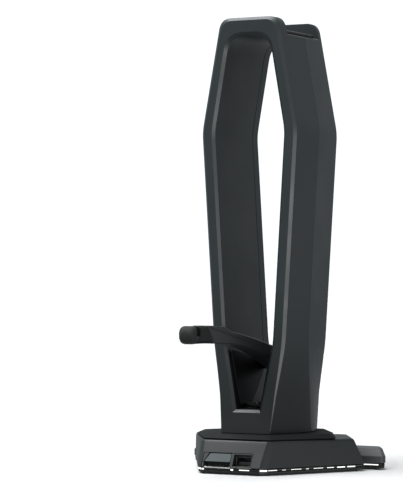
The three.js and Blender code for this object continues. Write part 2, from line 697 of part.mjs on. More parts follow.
// Folded steel shell of a port; the mouth faces the direction sign along Y.
function portShell(x, mouthY, sign, spec, wall = 0.35) {
  const backY = mouthY - sign * spec.depth;
  const [y0, y1] = [Math.min(mouthY, backY), Math.max(mouthY, backY)];
  const outer = box(x - spec.half, x + spec.half, y0, y1, spec.z0, spec.z1);
  const inner = box(x - spec.half + wall, x + spec.half - wall,
    sign > 0 ? y0 + 3 : y0 - 1, sign > 0 ? y1 + 1 : y1 - 3, spec.z0 + wall, spec.z1 - wall);
  return outer.subtract(inner);
}

function portTongue(x, mouthY, sign, spec, thick, above) {
  const near = mouthY - sign * 0.8;
  const far = mouthY - sign * (spec.depth - 3.2);
  return box(x - spec.half + 1.1, x + spec.half - 1.1, Math.min(near, far), Math.max(near, far),
    spec.z0 + above, spec.z0 + above + thick);
}

function lightRing() {
  const outline = inset(FOOTPRINT, 0.5);
  return slab(outline, RING_BOTTOM, RING_TOP)
    .subtract(slab(inset(PLAIN_FOOTPRINT, 3.2), RING_BOTTOM - 1, RING_TOP + 1));
}

const LED_PITCH = 14;

// Flexible strip on edge behind the ring, with its chips soldered to the outer side.
function ledStrip() {
  const strip = slab(inset(PLAIN_FOOTPRINT, 4.6), RING_BOTTOM + 0.1, RING_TOP - 0.1)
    .subtract(slab(inset(PLAIN_FOOTPRINT, 5.2), RING_BOTTOM - 1, RING_TOP + 1));
  const path = inset(PLAIN_FOOTPRINT, 4.3);
  const chips = [];
  path.forEach(([x, y], i) => {
    const [nx, ny] = path[(i + 1) % path.length];
    const length = Math.hypot(nx - x, ny - y);
    const angle = Math.atan2(ny - y, nx - x);
    const count = Math.floor(length / LED_PITCH);
    for (let n = 0; n < count; n++) {
      const t = (n + 0.5) / count;
      const geometry = new THREE.BoxGeometry(2.2, 0.7, 0.9);
      geometry.rotateZ(angle);
      geometry.translate(lerp(x, nx, t), lerp(y, ny, t), (RING_BOTTOM + RING_TOP) / 2);
      chips.push(toSolid(geometry));
    }
  });
  return strip.add(union(chips));
}

const ALL_BASE_SCREWS = [...BASE_SCREW_SPOTS, ...WING_SCREW_SPOTS];

function basePlate() {
  const plate = slab(inset(FOOTPRINT, 0.7), SOLE_TOP + 0.1, PLATE_TOP);
  const holes = union(ALL_BASE_SCREWS.map(([x, y]) => rod("z", [x, y, 0], 8, 1.5)));
  const seats = union(ALL_BASE_SCREWS.map(([x, y]) => rod("z", [x, y, 0], 1.95, 2.9)));
  return cut(plate, holes, seats);
}

function rubberSole() {
  return slab(inset(PLAIN_FOOTPRINT, 4.6), 0, SOLE_TOP);
}

const baseScrews = () => ALL_BASE_SCREWS.map(([x, y]) =>
  screw("z", [x, y, 1.9], 1, 2.7, 0.65, 1.2, Math.abs(x) > 50 ? 8 : 12));

function baseWeight() {
  const outline = mirrored([[17, -33.4], [32, -8], [30, 20]]);
  const slug = frustum([
    { outline, z: PLATE_TOP + 0.1 },
    { outline, z: 10.6 },
    { outline: inset(outline, 0.8), z: 11.4 },
  ]);
  return slug;
}

const BOARD_Z = 7;
const BOARD_SCREW_SPOTS = [[24, 38.5], [-24, 38.5]];

function hubBoard() {
  const board = box(-51, 51, 24.2, 42.6, BOARD_Z, BOARD_Z + 1.4);
  const portNotches = [-PORT_X, PORT_X].map((x) =>
    box(x - PORT.half - 0.2, x + PORT.half + 0.2, BASE_REAR_Y - PORT.depth - 1, 50, 0, 20));
  const inletNotch = box(-INLET.half - 0.2, INLET.half + 0.2, 37, 50, 0, 20);
  const postHoles = [26, -26].map((x) => rod("z", [x, 31, 0], 30, 3.4));
  const screwHoles = BOARD_SCREW_SPOTS.map(([x, y]) => rod("z", [x, y, 0], 30, 1.3));
  return cut(board, ...portNotches, inletNotch, ...postHoles, ...screwHoles);
}

const boardScrews = () => BOARD_SCREW_SPOTS.map(([x, y]) =>
  screw("z", [x, y, BOARD_Z + 1.45], -1, 1.9, 1.1, 1, 4.6));

const BOARD_TOP = BOARD_Z + 1.5;
const hubController = () => box(-4, 4, 26.5, 32.5, BOARD_TOP, BOARD_TOP + 1.2);
const hubCapacitor = () => rod("z", [14, 29, BOARD_TOP], 2.8, 2, 2, 16);

// ---- assembly ----
function addParts(parent, name, solids, material) {
  solids.forEach((solid, index) => addPart(parent, `${name}_${index + 1}`, solid, material));
}

const shells = towerShells();
addPart(group, "tower_front_shell", shells.front, CHARCOAL);
addPart(group, "tower_rear_shell", shells.rear, CHARCOAL);
addPart(group, "saddle_pad", saddlePad(), RUBBER);
addParts(group, "tower_screw", towerScrews(), STEEL);
addParts(group, "foot_screw", footScrews(), STEEL);

addPart(group, "arm_cradle", armCradle(), DARK);
addPart(group, "cradle_screw", cradleScrew(), STEEL);
addPart(group, "bungee_arm", bungeeArm(), DARK);
addPart(group, "arm_tip_body", armTipBody(), DARK);
addPart(group, "arm_tip_cap", armTipCap(), RUBBER);
addPart(group, "arm_pivot_pin", pivotPin(), STEEL);
addPart(group, "pivot_washer_left", pivotWasher(-ARM_HALF_WIDTH - 1.1), TONGUE);
addPart(group, "pivot_washer_right", pivotWasher(ARM_HALF_WIDTH + 0.3), TONGUE);

addPart(group, "base_cover", baseCover(), DECK_GREY);
addPart(group, "deck_collar", deckCollar(), DECK_GREY);
addPart(group, "rear_bar", rearBar(), DECK_GREY);
addPart(group, "front_bezel", frontBezel(), DARK);
addPart(group, "light_key", lightKey(), DECK_GREY);
addPart(group, "key_spring", keySpring(), STEEL);
addPart(group, "key_switch", keySwitch(), CHIP);
addPart(group, "front_board", frontBoard(), BOARD);
addPart(group, "light_ring", lightRing(), ACRYLIC);
addPart(group, "led_strip", ledStrip(), LED_WHITE);
addPart(group, "base_plate", basePlate(), DARK);
addPart(group, "rubber_sole", rubberSole(), RUBBER);
addPart(group, "base_weight", baseWeight(), STEEL);
addParts(group, "base_screw", baseScrews(), STEEL);
addPart(group, "hub_board", hubBoard(), BOARD);
addPart(group, "hub_controller", hubController(), CHIP);
addPart(group, "hub_capacitor", hubCapacitor(), CHIP);
addParts(group, "board_screw", boardScrews(), STEEL);

const PORTS = {
  front: [PORT_FRONT.x, PORT_FRONT.front, -1],
  left: [-PORT_X, BASE_REAR_Y - 0.1, 1],
  right: [PORT_X, BASE_REAR_Y - 0.1, 1],
};
for (const [side, [x, mouthY, sign]] of Object.entries(PORTS)) {
  addPart(group, `usb_port_${side}`, portShell(x, mouthY, sign, PORT), NICKEL);
  addPart(group, `usb_tongue_${side}`, portTongue(x, mouthY, sign, PORT, 1.8, 0.8), TONGUE);
}
const inletMouth = BASE_REAR_Y - 0.1;
addPart(group, "host_inlet", portShell(0, inletMouth, 1, INLET, 0.3), NICKEL);
addPart(group, "inlet_tongue", portTongue(0, inletMouth, 1, INLET, 0.7, 1.3), CHIP);

export default group;
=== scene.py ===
import math

import bmesh
import bpy
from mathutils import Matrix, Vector


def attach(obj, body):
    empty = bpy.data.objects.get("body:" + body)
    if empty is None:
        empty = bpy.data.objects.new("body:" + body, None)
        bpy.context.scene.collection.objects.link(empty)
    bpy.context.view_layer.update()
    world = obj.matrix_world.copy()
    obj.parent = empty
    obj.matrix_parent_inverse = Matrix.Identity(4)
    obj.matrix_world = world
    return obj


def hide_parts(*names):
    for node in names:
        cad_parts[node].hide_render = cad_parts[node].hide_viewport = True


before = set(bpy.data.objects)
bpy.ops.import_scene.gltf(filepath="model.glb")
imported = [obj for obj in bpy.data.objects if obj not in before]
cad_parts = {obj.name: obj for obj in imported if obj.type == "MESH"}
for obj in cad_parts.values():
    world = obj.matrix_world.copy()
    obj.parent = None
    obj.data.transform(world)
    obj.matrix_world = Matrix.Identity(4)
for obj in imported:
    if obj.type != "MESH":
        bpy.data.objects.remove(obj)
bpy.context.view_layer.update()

MM = 0.001

# ---- driving dimensions, as in the CAD part ----
HEIGHT = 280
LEVELS = {"foot": 24, "shin": 48, "hip": 79, "knee": 210, "top": HEIGHT}
FRONT_HALF = {"foot": 16.8, "shin": 19.6, "hip": 24.8, "knee": 33, "top": 20}
RIDGE_HALF = {"foot": 28.5, "shin": 27.6, "hip": 26.9, "knee": 34.6, "top": 21.6}
REAR_HALF = {"foot": 18.8, "shin": 20.4, "hip": 24.8, "knee": 33, "top": 20}
PASSAGE = {"sill": 8, "shin": 9.9, "hip": 16, "knee": 24, "arch": 13.6}
PASSAGE_LEVELS = {"sill": 38.5, "shin": 48, "hip": 79, "knee": 210, "arch": 269}
HALF_DEPTH = 30
FOOT_FLARE = 4
CHAMFER = 1.9
PASSAGE_CHAMFER = 1.8
LIP_CORNER = 7
ARCH_SOFT = 11
KNEE_SOFT = 5
SPLIT_INNER_Y = 21.4
GAP = 0.3
WALL = 2.4
SADDLE_Z = 275
SADDLE_FRONT_Y = -21
SADDLE_REAR_Y = 24
SADDLE_CROWN = 62
PAD_THICK = 2
SCREW_LEVELS = (252, 188, 122, 64)
SCREW_HEAD_Y = 22

CAVITY_TOP = 262
CAVITY_FLOOR = 27.4
PARTING = 0.12  # half of the gap at the side ridge
RING_WALL = 3  # the front shell's wall round the passage
REAR_EASE = 0.9
BOSS_SPLIT_Y = 10
FOOT_SPOTS = [(9, -16), (-9, -16), (9, 16), (-9, 16)]

PIVOT_Y = 12.5
PIVOT_Z = 66.5
ARM_HALF = 5.6
KNUCKLE = 5.6
BLADE_TOP = [(10, 71.4), (0, 75.6), (-12, 78.6), (-34, 83), (-52, 86), (-61, 87.2)]
BLADE_BOTTOM = [(-61, 79.6), (-43, 77.4), (-29, 74.2), (-12, 68.6), (2, 63.2), (9, 61.2)]
SLEEVE_REAR = (-71, 90.6)
JOINT_TOP_Y = -93
JOINT_BOTTOM_Y = -84
TIP_TOP = 91.4
TIP_BOTTOM = 80.6
TIP_NOSE_Y = -110.1
SLOT_FRONT_Y = -105.4
SLOT_REAR_Y = -100.8
SLOT_FLOOR_Z = 84.8
TENON_HALF = 2.4
TENON_Z = (81.8, 84)
TENON_FRONT_Y = SLOT_FRONT_Y - 1.4
CAP_SPLIT_Y = SLOT_FRONT_Y + 1.5
CRADLE_SCREW = (0, -17, 41.45)
CRADLE_FLOOR_TOP = 41.4
CHEEK = [(-26.5, 39.2), (-12, 39.2), (-9, 44), (-1.5, 49), (12.2, 61), (12.6, 64), (4, 68.2),
         (-10, 72.4), (-26.5, 75.5)]
CHEEK_THICK = 2
EAR_RADIUS = 4.6
EAR_X = (ARM_HALF + 1.4, 10.9)

SOLE_TOP = 1.1
PLATE_TOP = 2.5
RING_BOTTOM = 2.6
RING_TOP = 4.2
COVER_BOTTOM = 4.4
COVER_CEILING = 18.4
SHOULDER_Z = 18.9
LOWER_DECK_Z = 20.4
DECK_Z = 23.7
BAR_WAIST_Z = 8.6
BAR_TOP = 13.2
COVER_FOOT = [(20, -54.2), (24.2, -50.6), (59.7, 11.6), (43.6, 38)]
COVER_SHOULDER = [(21.4, -47.4), (25.2, -44.2), (55.8, 4.9), (36, 38)]
COVER_TOP = [(21.4, -46.4), (24.4, -43.6), (55, 4.3), (35, 37)]
COLLAR_FOOT = [(21, -45.8), (24, -43.2), (49, -7), (25.6, 37)]
COLLAR_TOP = [(19.4, -42.6), (22.2, -40.2), (43.8, -5.3), (20, 34.6)]
BAR_FOOT = [(66.2, 22), (67.7, 24.6), (57.2, 42.8), (54, 45)]
BAR_CROWN = [(62.6, 26.4), (63.8, 28.5), (56, 42), (53, 43.4)]
BAR_ROOT = (52, 22)
BAR_REAR_Y = 45
BASE_SCREWS = [(22, -38), (-22, -38), (44, 6), (-44, 6), (26, 31), (-26, 31),
               (54, 30.5), (-54, 30.5)]
BOARD_SCREWS = [(24, 38.5), (-24, 38.5)]
BAY_X0, BAY_X1, BAY_Z1 = -19.9, 14, 13.2
KEY_X0, KEY_X1, KEY_Z0, KEY_Z1, KEY_SLANT = -19, -0.9, 7.6, 12.6, 3.4
KEY_STEM = (-8, 10.2)
KEY_GUIDE = (-14.5, 10.2)
BEZEL_BACK_Y = -47.6
KEY_BACK_Y = -49.2
RECESS_X = (1.2, 13.4)
RIB_COUNT = 17
RIB_WIDTH = 0.5
FRONT_PORT_X = 7.3
FRONT_PORT_Y = -47.4
REAR_PORT_X = 43
REAR_PORT_Y = 44.9
PORT = {"half": 6.6, "z0": 5, "z1": 10.8, "depth": 13.5}
TONGUE_TOP = 7.6
INLET = {"half": 4.5, "z0": 6.2, "z1": 9.5, "depth": 7}

ROUND_STEPS = 10  # segments in a wide rounded corner
CORNER_STEPS = 5  # segments in a small one
SOFT_STEPS = 4
RUN_STEPS = 4  # parts of a straight run whose depth curves
BOW_STEPS = 6
SHARP = math.radians(38)  # edges that turn more are shaded sharp
FLAT = math.radians(0.5)  # faces that turn less count as one
EDGE_ANGLE = 24  # degrees: edges that turn more are rounded


# ---- mesh helpers ----
def placed(name, data):
    """A new object, linked into the scene."""
    item = bpy.data.objects.new(name, data)
    bpy.context.scene.collection.objects.link(item)
    return item


def new_object(name, mesh, body, material):
    piece = placed(name, mesh)
    mesh.materials.append(material)
    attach(piece, body)
    return piece


def mesh_of(name, bm):
    mesh = bpy.data.meshes.new(name)
    bm.to_mesh(mesh)
    bm.free()
    return mesh


def mesh_from(name, points, faces):
    """A closed mesh from millimetre points, with its normals facing out."""
    bm = bmesh.new()
    verts = [bm.verts.new(Vector(p) * MM) for p in points]
    for face in faces:
        bm.faces.new([verts[i] for i in face])
    bmesh.ops.remove_doubles(bm, verts=bm.verts, dist=1e-7)
    bmesh.ops.recalc_face_normals(bm, faces=bm.faces)
    return mesh_of(name, bm)


def strips_between(count, starts, total):
    """Faces from each loop in starts to the next of total loops, with count points each."""
    return [tuple(loop % total * count + i % count
                  for loop, i in ((k, i), (k, i + 1), (k + 1, i + 1), (k + 1, i)))
            for k in starts for i in range(count)]


def ring_of_loops(name, loops):
    """A closed ring: every loop joins the next one, and the last joins the first."""
    count = len(loops[0])
    faces = strips_between(count, range(len(loops)), len(loops))
    return mesh_from(name, [p for loop in loops for p in loop], faces)


def stack_of_loops(name, loops, mirror_caps=False):
    """A closed body: every loop joins the next one, and the two end loops are capped.

    Ends that aren't flat are capped in strips between each point and its mirror image."""
    count = len(loops[0])
    last = (len(loops) - 1) * count
    faces = [tuple(reversed(range(count))), tuple(range(last, last + count))]
    if mirror_caps:
        strips = [(i, i + 1, count - 2 - i, count - 1 - i) for i in range(count // 2 - 1)]
        faces = strips + [tuple(last + k for k in strip) for strip in strips]
    faces += strips_between(count, range(len(loops) - 1), len(loops))
    return mesh_from(name, [p for loop in loops for p in loop], faces)


def box_mesh(x0, x1, y0, y1, z0, z1):
    loops = [[(x0, y0, z), (x1, y0, z), (x1, y1, z), (x0, y1, z)] for z in (z0, z1)]
    return stack_of_loops("box", loops)


def turned_loop(axis, start, distance, radii):
    """A ring of points round an axis "x", "y" or "z", with one radius for each point."""
    loop = []
    for i, r in enumerate(radii):
        a = math.tau * i / len(radii)
        u, v = r * math.cos(a), r * math.sin(a)
        offset = {"x": (distance, u, v), "y": (v, distance, u), "z": (u, v, distance)}[axis]
        loop.append([s + o for s, o in zip(start, offset)])
    return loop


def rod_mesh(axis, start, length, radius, sides=32):
    """A cylinder along axis "x", "y" or "z" from the point start."""
    return stack_of_loops("rod", [turned_loop(axis, start, distance, [radius] * sides)
                                  for distance in (0, length)])


def rods(axis, spots, level, length, radius, sides=20):
    """Equal cylinders along "y" or "z" that start at one level, at X-Z or X-Y spots."""
    starts = [(u, level, v) if axis == "y" else (u, v, level) for u, v in spots]
    return [rod_mesh(axis, start, length, radius, sides) for start in starts]


def joined(meshes, name="tools"):
    """Several separate bodies in one mesh, to cut or join with in one go."""
    bm = bmesh.new()
    for mesh in meshes:
        bm.from_mesh(mesh)
    return mesh_of(name, bm)


def apply(piece, modifier):
    """Turns the piece's only modifier into mesh."""
    bpy.context.view_layer.update()
    graph = bpy.context.evaluated_depsgraph_get()
    made = bpy.data.meshes.new_from_object(piece.evaluated_get(graph))
    piece.modifiers.remove(modifier)
    piece.data = made


def carve(piece, tools, operation="DIFFERENCE"):
    """Cuts (or joins) the tool meshes into the piece, and keeps the result as its mesh."""
    for mesh in tools:
        tool = placed("tool", mesh)
        cut = piece.modifiers.new("cut", "BOOLEAN")
        cut.operation = operation
        cut.solver = "EXACT"
        cut.object = tool
        apply(piece, cut)
        bpy.data.objects.remove(tool)


def cut_tool(mesh, tools):
    """Cuts a mesh that is itself only used for cutting."""
    piece = placed("tool", mesh)
    carve(piece, tools)
    result = piece.data
    bpy.data.objects.remove(piece)
    return result


def clean(piece):
    """Merges the slivers that a cut leaves, and joins flat neighbours into one face."""
    bm = bmesh.new()
    bm.from_mesh(piece.data)
    bmesh.ops.remove_doubles(bm, verts=bm.verts, dist=0.02 * MM)
    bmesh.ops.dissolve_limit(bm, angle_limit=FLAT, verts=bm.verts, edges=bm.edges)
    bm.to_mesh(piece.data)
    bm.free()


def rounding(piece, width, segments=3, angle=EDGE_ANGLE):
    bevel = piece.modifiers.new("rounded edges", "BEVEL")
    bevel.width = width * MM
    bevel.segments = segments
    bevel.limit_method = "ANGLE"
    bevel.angle_limit = math.radians(angle)
    return bevel


def ease(piece, width, segments=3, angle=EDGE_ANGLE):
    """Rounds the edges sharper than angle by width millimetres, and keeps the result."""
    bevel = rounding(piece, width, segments, angle)
    bevel.miter_outer = "MITER_ARC"
    apply(piece, bevel)


def mend(bm):
    """Merges slivers, removes the flat flaps that a cut can leave, and closes pinholes."""
    bmesh.ops.dissolve_degenerate(bm, edges=bm.edges, dist=0.002 * MM)
    bmesh.ops.triangulate(bm, faces=[face for face in bm.faces if len(face.verts) > 4])
    bm.verts.index_update()
    twins = {}
    for face in bm.faces:
        twins.setdefault(frozenset(v.index for v in face.verts), []).append(face)
    flaps = [face for group in twins.values() if len(group) > 1 for face in group]
    bmesh.ops.delete(bm, geom=flaps, context="FACES")
    rims = [edge for edge in bm.edges if edge.is_boundary]
    for face in bmesh.ops.holes_fill(bm, edges=rims)["faces"]:
        loop = face.loops[0]
        if loop.link_loop_radial_next.vert is loop.vert:
            face.normal_flip()


def shaded(piece):
    """Shades curves smooth, flat faces flat and sharp edges sharp."""
    piece.data.shade_smooth()
    bm = bmesh.new()
    bm.from_mesh(piece.data)
    mend(bm)
    for edge in bm.edges:
        edge.smooth = len(edge.link_faces) == 2 and edge.calc_face_angle(0) < SHARP
    bm.to_mesh(piece.data)
    bm.free()
    normals = piece.modifiers.new("flat faces", "WEIGHTED_NORMAL")
    normals.weight = 60
    normals.keep_sharp = True


# ---- outlines ----
def lerp(a, b, t):
    return a + (b - a) * t


def quad_curve(a, corner, b, steps):
    for k in range(steps + 1):
        t = k / steps
        yield tuple((1 - t) ** 2 * p + 2 * t * (1 - t) * q + t * t * r
                    for p, q, r in zip(a, corner, b))


def softened(points, corners):
    """Replaces the corners named by index with curves that start a given distance before."""
    result = []
    for index, point in enumerate(points):
        soft = corners.get(index, 0)
        if not soft:
            result.append(tuple(point))
            continue
        corner = Vector(point)
        before = Vector(points[index - 1])
        after = Vector(points[index + 1]) if index + 1 < len(points) else Vector((0, point[1]))
        start = corner + (before - corner).normalized() * soft
        end = corner + (after - corner).normalized() * soft
        result.extend(quad_curve(start, corner, end, ROUND_STEPS if soft > KNEE_SOFT
                                 else CORNER_STEPS))
    return result


def divided(points, runs):
    """Splits the first straight runs of an outline, so that a curved depth shows smooth."""
    result = []
    for i, (a, b) in enumerate(zip(points, points[1:])):
        steps = RUN_STEPS if i < runs else 1
        result.extend((lerp(a[0], b[0], k / steps), lerp(a[1], b[1], k / steps))
                      for k in range(steps))
    return result + [points[-1]]


def tower_side(half, trim=0, drop=0):
    """Right-hand outline of the tower in X-Z, shrunk by trim on the side and the top."""
    points = [(half[level] - trim, z) for level, z in LEVELS.items()]
    points[0] = (points[0][0], points[0][1] - drop)
    points[-1] = (points[-1][0], points[-1][1] - trim)
    return divided(softened(points, {2: KNEE_SOFT, 3: KNEE_SOFT, 4: LIP_CORNER}), 2)


def passage_side(grow=0):
    """Right-hand outline of the passage in X-Z, widened all round by grow."""
    points = [(PASSAGE[level] + grow, z) for level, z in PASSAGE_LEVELS.items()]
    points[0] = (points[0][0], points[0][1] - grow)
    points[-1] = (points[-1][0], points[-1][1] + grow)
    return divided(softened(points, {2: KNEE_SOFT, 3: KNEE_SOFT, 4: ARCH_SOFT}), 2)


def front_y(z):
    """The front face is upright above the hip and runs forward towards the foot."""
    drop = max(0, (LEVELS["hip"] - z) / (LEVELS["hip"] - LEVELS["foot"]))
    return -HALF_DEPTH - FOOT_FLARE * drop * drop


def both_sides(right):
    """Closes right-hand points with their mirror image in X."""
    return right + [(-x, *rest) for x, *rest in reversed(right)]


def around(side, y):
    """Closes a right-hand X-Z outline into a whole loop, at depth y or at y(z)."""
    return both_sides([(x, y(z) if callable(y) else y, z) for x, z in side])


def inset(outline, distance):
    """Moves every edge of a closed counter-clockwise outline inwards."""
    result = []
    count = len(outline)
    for i, point in enumerate(outline):
        p = Vector(point)
        u = (p - Vector(outline[i - 1])).normalized()
        v = (Vector(outline[(i + 1) % count]) - p).normalized()
        turn = u.x * v.y - u.y * v.x
        along = 0 if abs(turn) < 1e-9 else (1 - u.dot(v)) / turn
        result.append((p.x - u.y * distance - u.x * distance * along,
                       p.y + u.x * distance - u.y * distance * along))
    return result


def spline(points, steps):
    """A smooth curve through the points."""
    result = []
    for k in range(steps + 1):
        at = (len(points) - 1) * k / steps
        i = min(int(at), len(points) - 2)
        t = at - i
        a, b, c, d = (Vector(points[min(max(n, 0), len(points) - 1)]) for n in range(i - 1, i + 3))
        start, end = (c - a) / 2, (d - b) / 2
        p = ((2 * b - 2 * c + start + end) * t ** 3 + (3 * c - 3 * b - 2 * start - end) * t * t
             + start * t + b)
        result.append((p.x, p.y))
    return result


def soft_corners(outline, radius, sharp=15):
    """Rounds the corners of a closed outline that turn by more than sharp degrees."""
    result = []
    count = len(outline)
    for i, point in enumerate(outline):
        p, before, after = Vector(point), Vector(outline[i - 1]), Vector(outline[(i + 1) % count])
        turn = (p - before).angle(after - p)
        if math.degrees(turn) < sharp:
            result.append(tuple(point))
            continue
        back = min(radius * math.tan(turn / 2), 0.42 * (p - before).length,
                   0.42 * (after - p).length)
        start = p + (before - p).normalized() * back
        end = p + (after - p).normalized() * back
        result.extend(quad_curve(start, p, end, SOFT_STEPS))
    return result


def rounded_plate(name, outline, half, radius):
    """A Y-Z outline extruded along X from -half to +half, with its rim rounded off."""
    sides = []
    for k in range(CORNER_STEPS + 1):
        a = math.pi / 2 * k / CORNER_STEPS
        sides.append((half - radius * (1 - math.cos(a)), radius * (1 - math.sin(a))))
    sections = [(-x, d) for x, d in sides] + list(reversed(sides))
    return stack_of_loops(name, [[(x, y, z) for y, z in inset(outline, d)] for x, d in sections])


def prism_x(name, outline, x0, x1):
    return stack_of_loops(name, [[(x, y, z) for y, z in outline] for x in (x0, x1)])


def prism_y(name, outline, y0, y1):
    return stack_of_loops(name, [[(x, y, z) for x, z in outline] for y in (y0, y1)])


def layers(name, sections):
    """X-Y outlines at given heights, joined into one closed body."""
    return stack_of_loops(name, [[(x, y, z) for x, y in outline] for z, outline in sections])


# ---- materials ----
class Nodes:
    """Builds one material's node tree."""

    def __init__(self, name):
        self.material = bpy.data.materials.new(name)
        self.material.use_nodes = True
        self.tree = self.material.node_tree
        self.shader = self.tree.nodes["Principled BSDF"]
        self.space = self.tree.nodes.new("ShaderNodeTexCoord").outputs["Object"]

    def add(self, kind, inputs=(), **settings):
        node = self.tree.nodes.new("ShaderNode" + kind)
        for key, value in settings.items():
            setattr(node, key, value)
        for key, value in dict(inputs).items():
            self.put(value, node.inputs[key])
        return node

    def put(self, value, socket):
        if isinstance(value, bpy.types.NodeSocket):
            self.tree.links.new(value, socket)
        else:
            socket.default_value = value

    def noise(self, scale, detail=3, roughness=0.55):
        return self.add("TexNoise", {"Scale": scale, "Detail": detail, "Roughness": roughness,
                                     "Vector": self.space}).outputs["Fac"]

    def stretch(self, value, to_low, to_high, low=0.3, high=0.7):
        node = self.add("MapRange", {"Value": value, "From Min": low, "From Max": high,
                                     "To Min": to_low, "To Max": to_high})
        return node.outputs["Result"]

    def blend(self, factor, a, b):
        node = self.add("Mix", data_type="RGBA")
        self.put(factor, node.inputs["Factor"])
        self.put(a, node.inputs[6])
        self.put(b, node.inputs[7])
        return node.outputs[2]

    def math(self, operation, a, b=0.0):
        node = self.add("Math", operation=operation)
        self.put(a, node.inputs[0])
        self.put(b, node.inputs[1])
        return node.outputs["Value"]

    def edges(self, radius):
        """0 on flat faces, rising towards 1 on edges sharper than the radius."""
        rounded = self.add("Bevel", {"Radius": radius * MM}, samples=4)
        plain = self.add("NewGeometry").outputs["Normal"]
        dot = self.add("VectorMath", operation="DOT_PRODUCT")
        self.put(rounded.outputs["Normal"], dot.inputs[0])
        self.put(plain, dot.inputs[1])
        return self.stretch(dot.outputs["Value"], 0.0, 1.0, 0.995, 0.9)

    def bump(self, height, strength, distance):
        node = self.add("Bump", {"Strength": strength, "Distance": distance * MM,
                                 "Height": height})
        self.put(node.outputs["Normal"], self.shader.inputs["Normal"])

    def colour(self, value):
        self.put(value, self.shader.inputs["Base Color"])

    def rough(self, value):
        self.put(value, self.shader.inputs["Roughness"])

    def set(self, values):
        for key, value in values.items():
            self.shader.inputs[key].default_value = value


def grey(value, tint=(1, 1, 1)):
    return (value * tint[0], value * tint[1], value * tint[2], 1)


COOL = (0.76, 1.0, 1.05)
PLASTIC_IOR = 1.49


def moulded(name, tone, roughness, specular=0.5, tint=COOL, painted_foot_shade=1.0):
    """Spark-eroded moulded plastic: fine grain, cloudy gloss, and sharp edges painted lighter,
    partly as wear from handling and partly as painted highlight.

    Painted shade darkens the colour towards the foot, by the given factor, and fades the painted
    edge highlight there."""
    n = Nodes(name)
    cloud = n.noise(28, 4)
    streak = n.noise(9, 2)
    fine = n.noise(2600, 2, 0.6)
    # painted highlight mixed with wear: a noise-mottled mask on sharp edges
    rubbed_and_highlit = n.math("MULTIPLY", n.edges(0.7), n.stretch(n.noise(160, 3), 0.25, 1.0, 0.35, 0.7))
    base = n.blend(cloud, grey(tone * 0.88, tint), grey(tone * 1.12, tint))
    # painted shade: the colour darkens below about 115 mm, standing in for light falling off
    # towards the foot, and the painted edge highlight fades there too
    if painted_foot_shade < 1:
        height = n.add("SeparateXYZ", {"Vector": n.space}).outputs["Z"]
        lift = n.stretch(height, 0.0, 1.0, 0.035, 0.115)
        base = n.blend(lift, grey(tone * painted_foot_shade, tint), base)
        rubbed_and_highlit = n.math("MULTIPLY", rubbed_and_highlit, lift)
    # the edge mask lightens the colour towards twice the tone: painted highlight and wear
    base = n.blend(n.math("MULTIPLY", rubbed_and_highlit, 0.3), base, grey(tone * 2, tint))
    n.colour(base)
    variation = n.math("ADD", n.stretch(cloud, -0.05, 0.05),
                       n.stretch(streak, -0.04, 0.04))
    worn = n.math("MULTIPLY", rubbed_and_highlit, -0.08)
    n.rough(n.math("ADD", n.math("ADD", roughness, variation), worn))
    n.bump(fine, 0.25, 0.05)
    n.set({"IOR": PLASTIC_IOR, "Specular IOR Level": specular})
    return n.material


def polished(name, tone, roughness, specular):
    """Polished black plastic with faint swirl marks."""
    n = Nodes(name)
    tint = (1, 1, 1.04)
    cloud = n.noise(30, 3)
    hair = n.noise(900, 2, 0.7)
    n.colour(n.blend(cloud, grey(tone * 0.85, tint), grey(tone * 1.2, tint)))
    n.rough(n.math("ADD", n.stretch(cloud, roughness - 0.03, roughness + 0.05),
                   n.stretch(hair, 0.0, 0.06, 0.4, 0.75)))
    n.bump(hair, 0.05, 0.02)
    n.set({"Specular IOR Level": specular, "Coat Weight": 0.04, "Coat Roughness": 0.1})
    return n.material


def rubber(name, tone, grain):
    """Matt rubber with a pebbled skin and a dusty bloom."""
    n = Nodes(name)
    cloud = n.noise(24, 4)
    pebble = n.add("TexVoronoi", {"Scale": grain, "Vector": n.space})
    n.colour(n.blend(n.stretch(cloud, 0.0, 1.0, 0.3, 0.75), grey(tone), grey(tone * 1.5)))
    n.rough(n.stretch(cloud, 0.72, 0.86))
    n.bump(pebble.outputs["Distance"], 0.5, 0.12)
    n.set({"Sheen Weight": 0.08, "Sheen Roughness": 0.5})
    return n.material


def plated(name, tone, roughness, tint=(1, 1, 1)):
    """Plated metal with a cloudy finish."""
    n = Nodes(name)
    lines = n.noise(500, 3, 0.6)
    cloud = n.noise(45, 3)
    n.colour(n.blend(cloud, grey(tone * 0.85, tint), grey(tone * 1.08, tint)))
    n.rough(n.math("ADD", n.stretch(lines, -0.06, 0.08),
                   n.stretch(cloud, roughness - 0.03, roughness + 0.05)))
    n.bump(lines, 0.15, 0.02)
    n.set({"Metallic": 1.0})
    return n.material


def cast_iron(name):
    n = Nodes(name)
    sand = n.noise(700, 5, 0.7)
    cloud = n.noise(40, 4)
    n.colour(n.blend(cloud, grey(0.10), grey(0.2, (1.05, 1, 0.94))))
    n.rough(n.stretch(sand, 0.5, 0.75))
    n.bump(sand, 0.6, 0.2)
    n.set({"Metallic": 0.85})
    return n.material


def solder_mask(name):
    """Green lacquered board with copper tracks showing as a raised pattern."""
    n = Nodes(name)
    raised = n.add("TexBrick", {"Scale": 160.0, "Mortar Size": 0.09, "Mortar Smooth": 0.2,
                                "Brick Width": 0.9, "Row Height": 0.3,
                                "Vector": n.space}).outputs["Fac"]
    cloud = n.noise(60, 3)
    dark = n.blend(cloud, (0.006, 0.040, 0.020, 1), (0.010, 0.055, 0.028, 1))
    n.colour(n.blend(raised, dark, (0.020, 0.100, 0.050, 1)))
    n.rough(n.stretch(cloud, 0.26, 0.38))
    n.bump(raised, 0.3, 0.05)
    return n.material


def epoxy(name):
    n = Nodes(name)
    speck = n.noise(1500, 2)
    n.colour(n.blend(speck, grey(0.008), grey(0.018)))
    n.rough(n.stretch(speck, 0.5, 0.66))
    n.bump(speck, 0.2, 0.03)
    return n.material


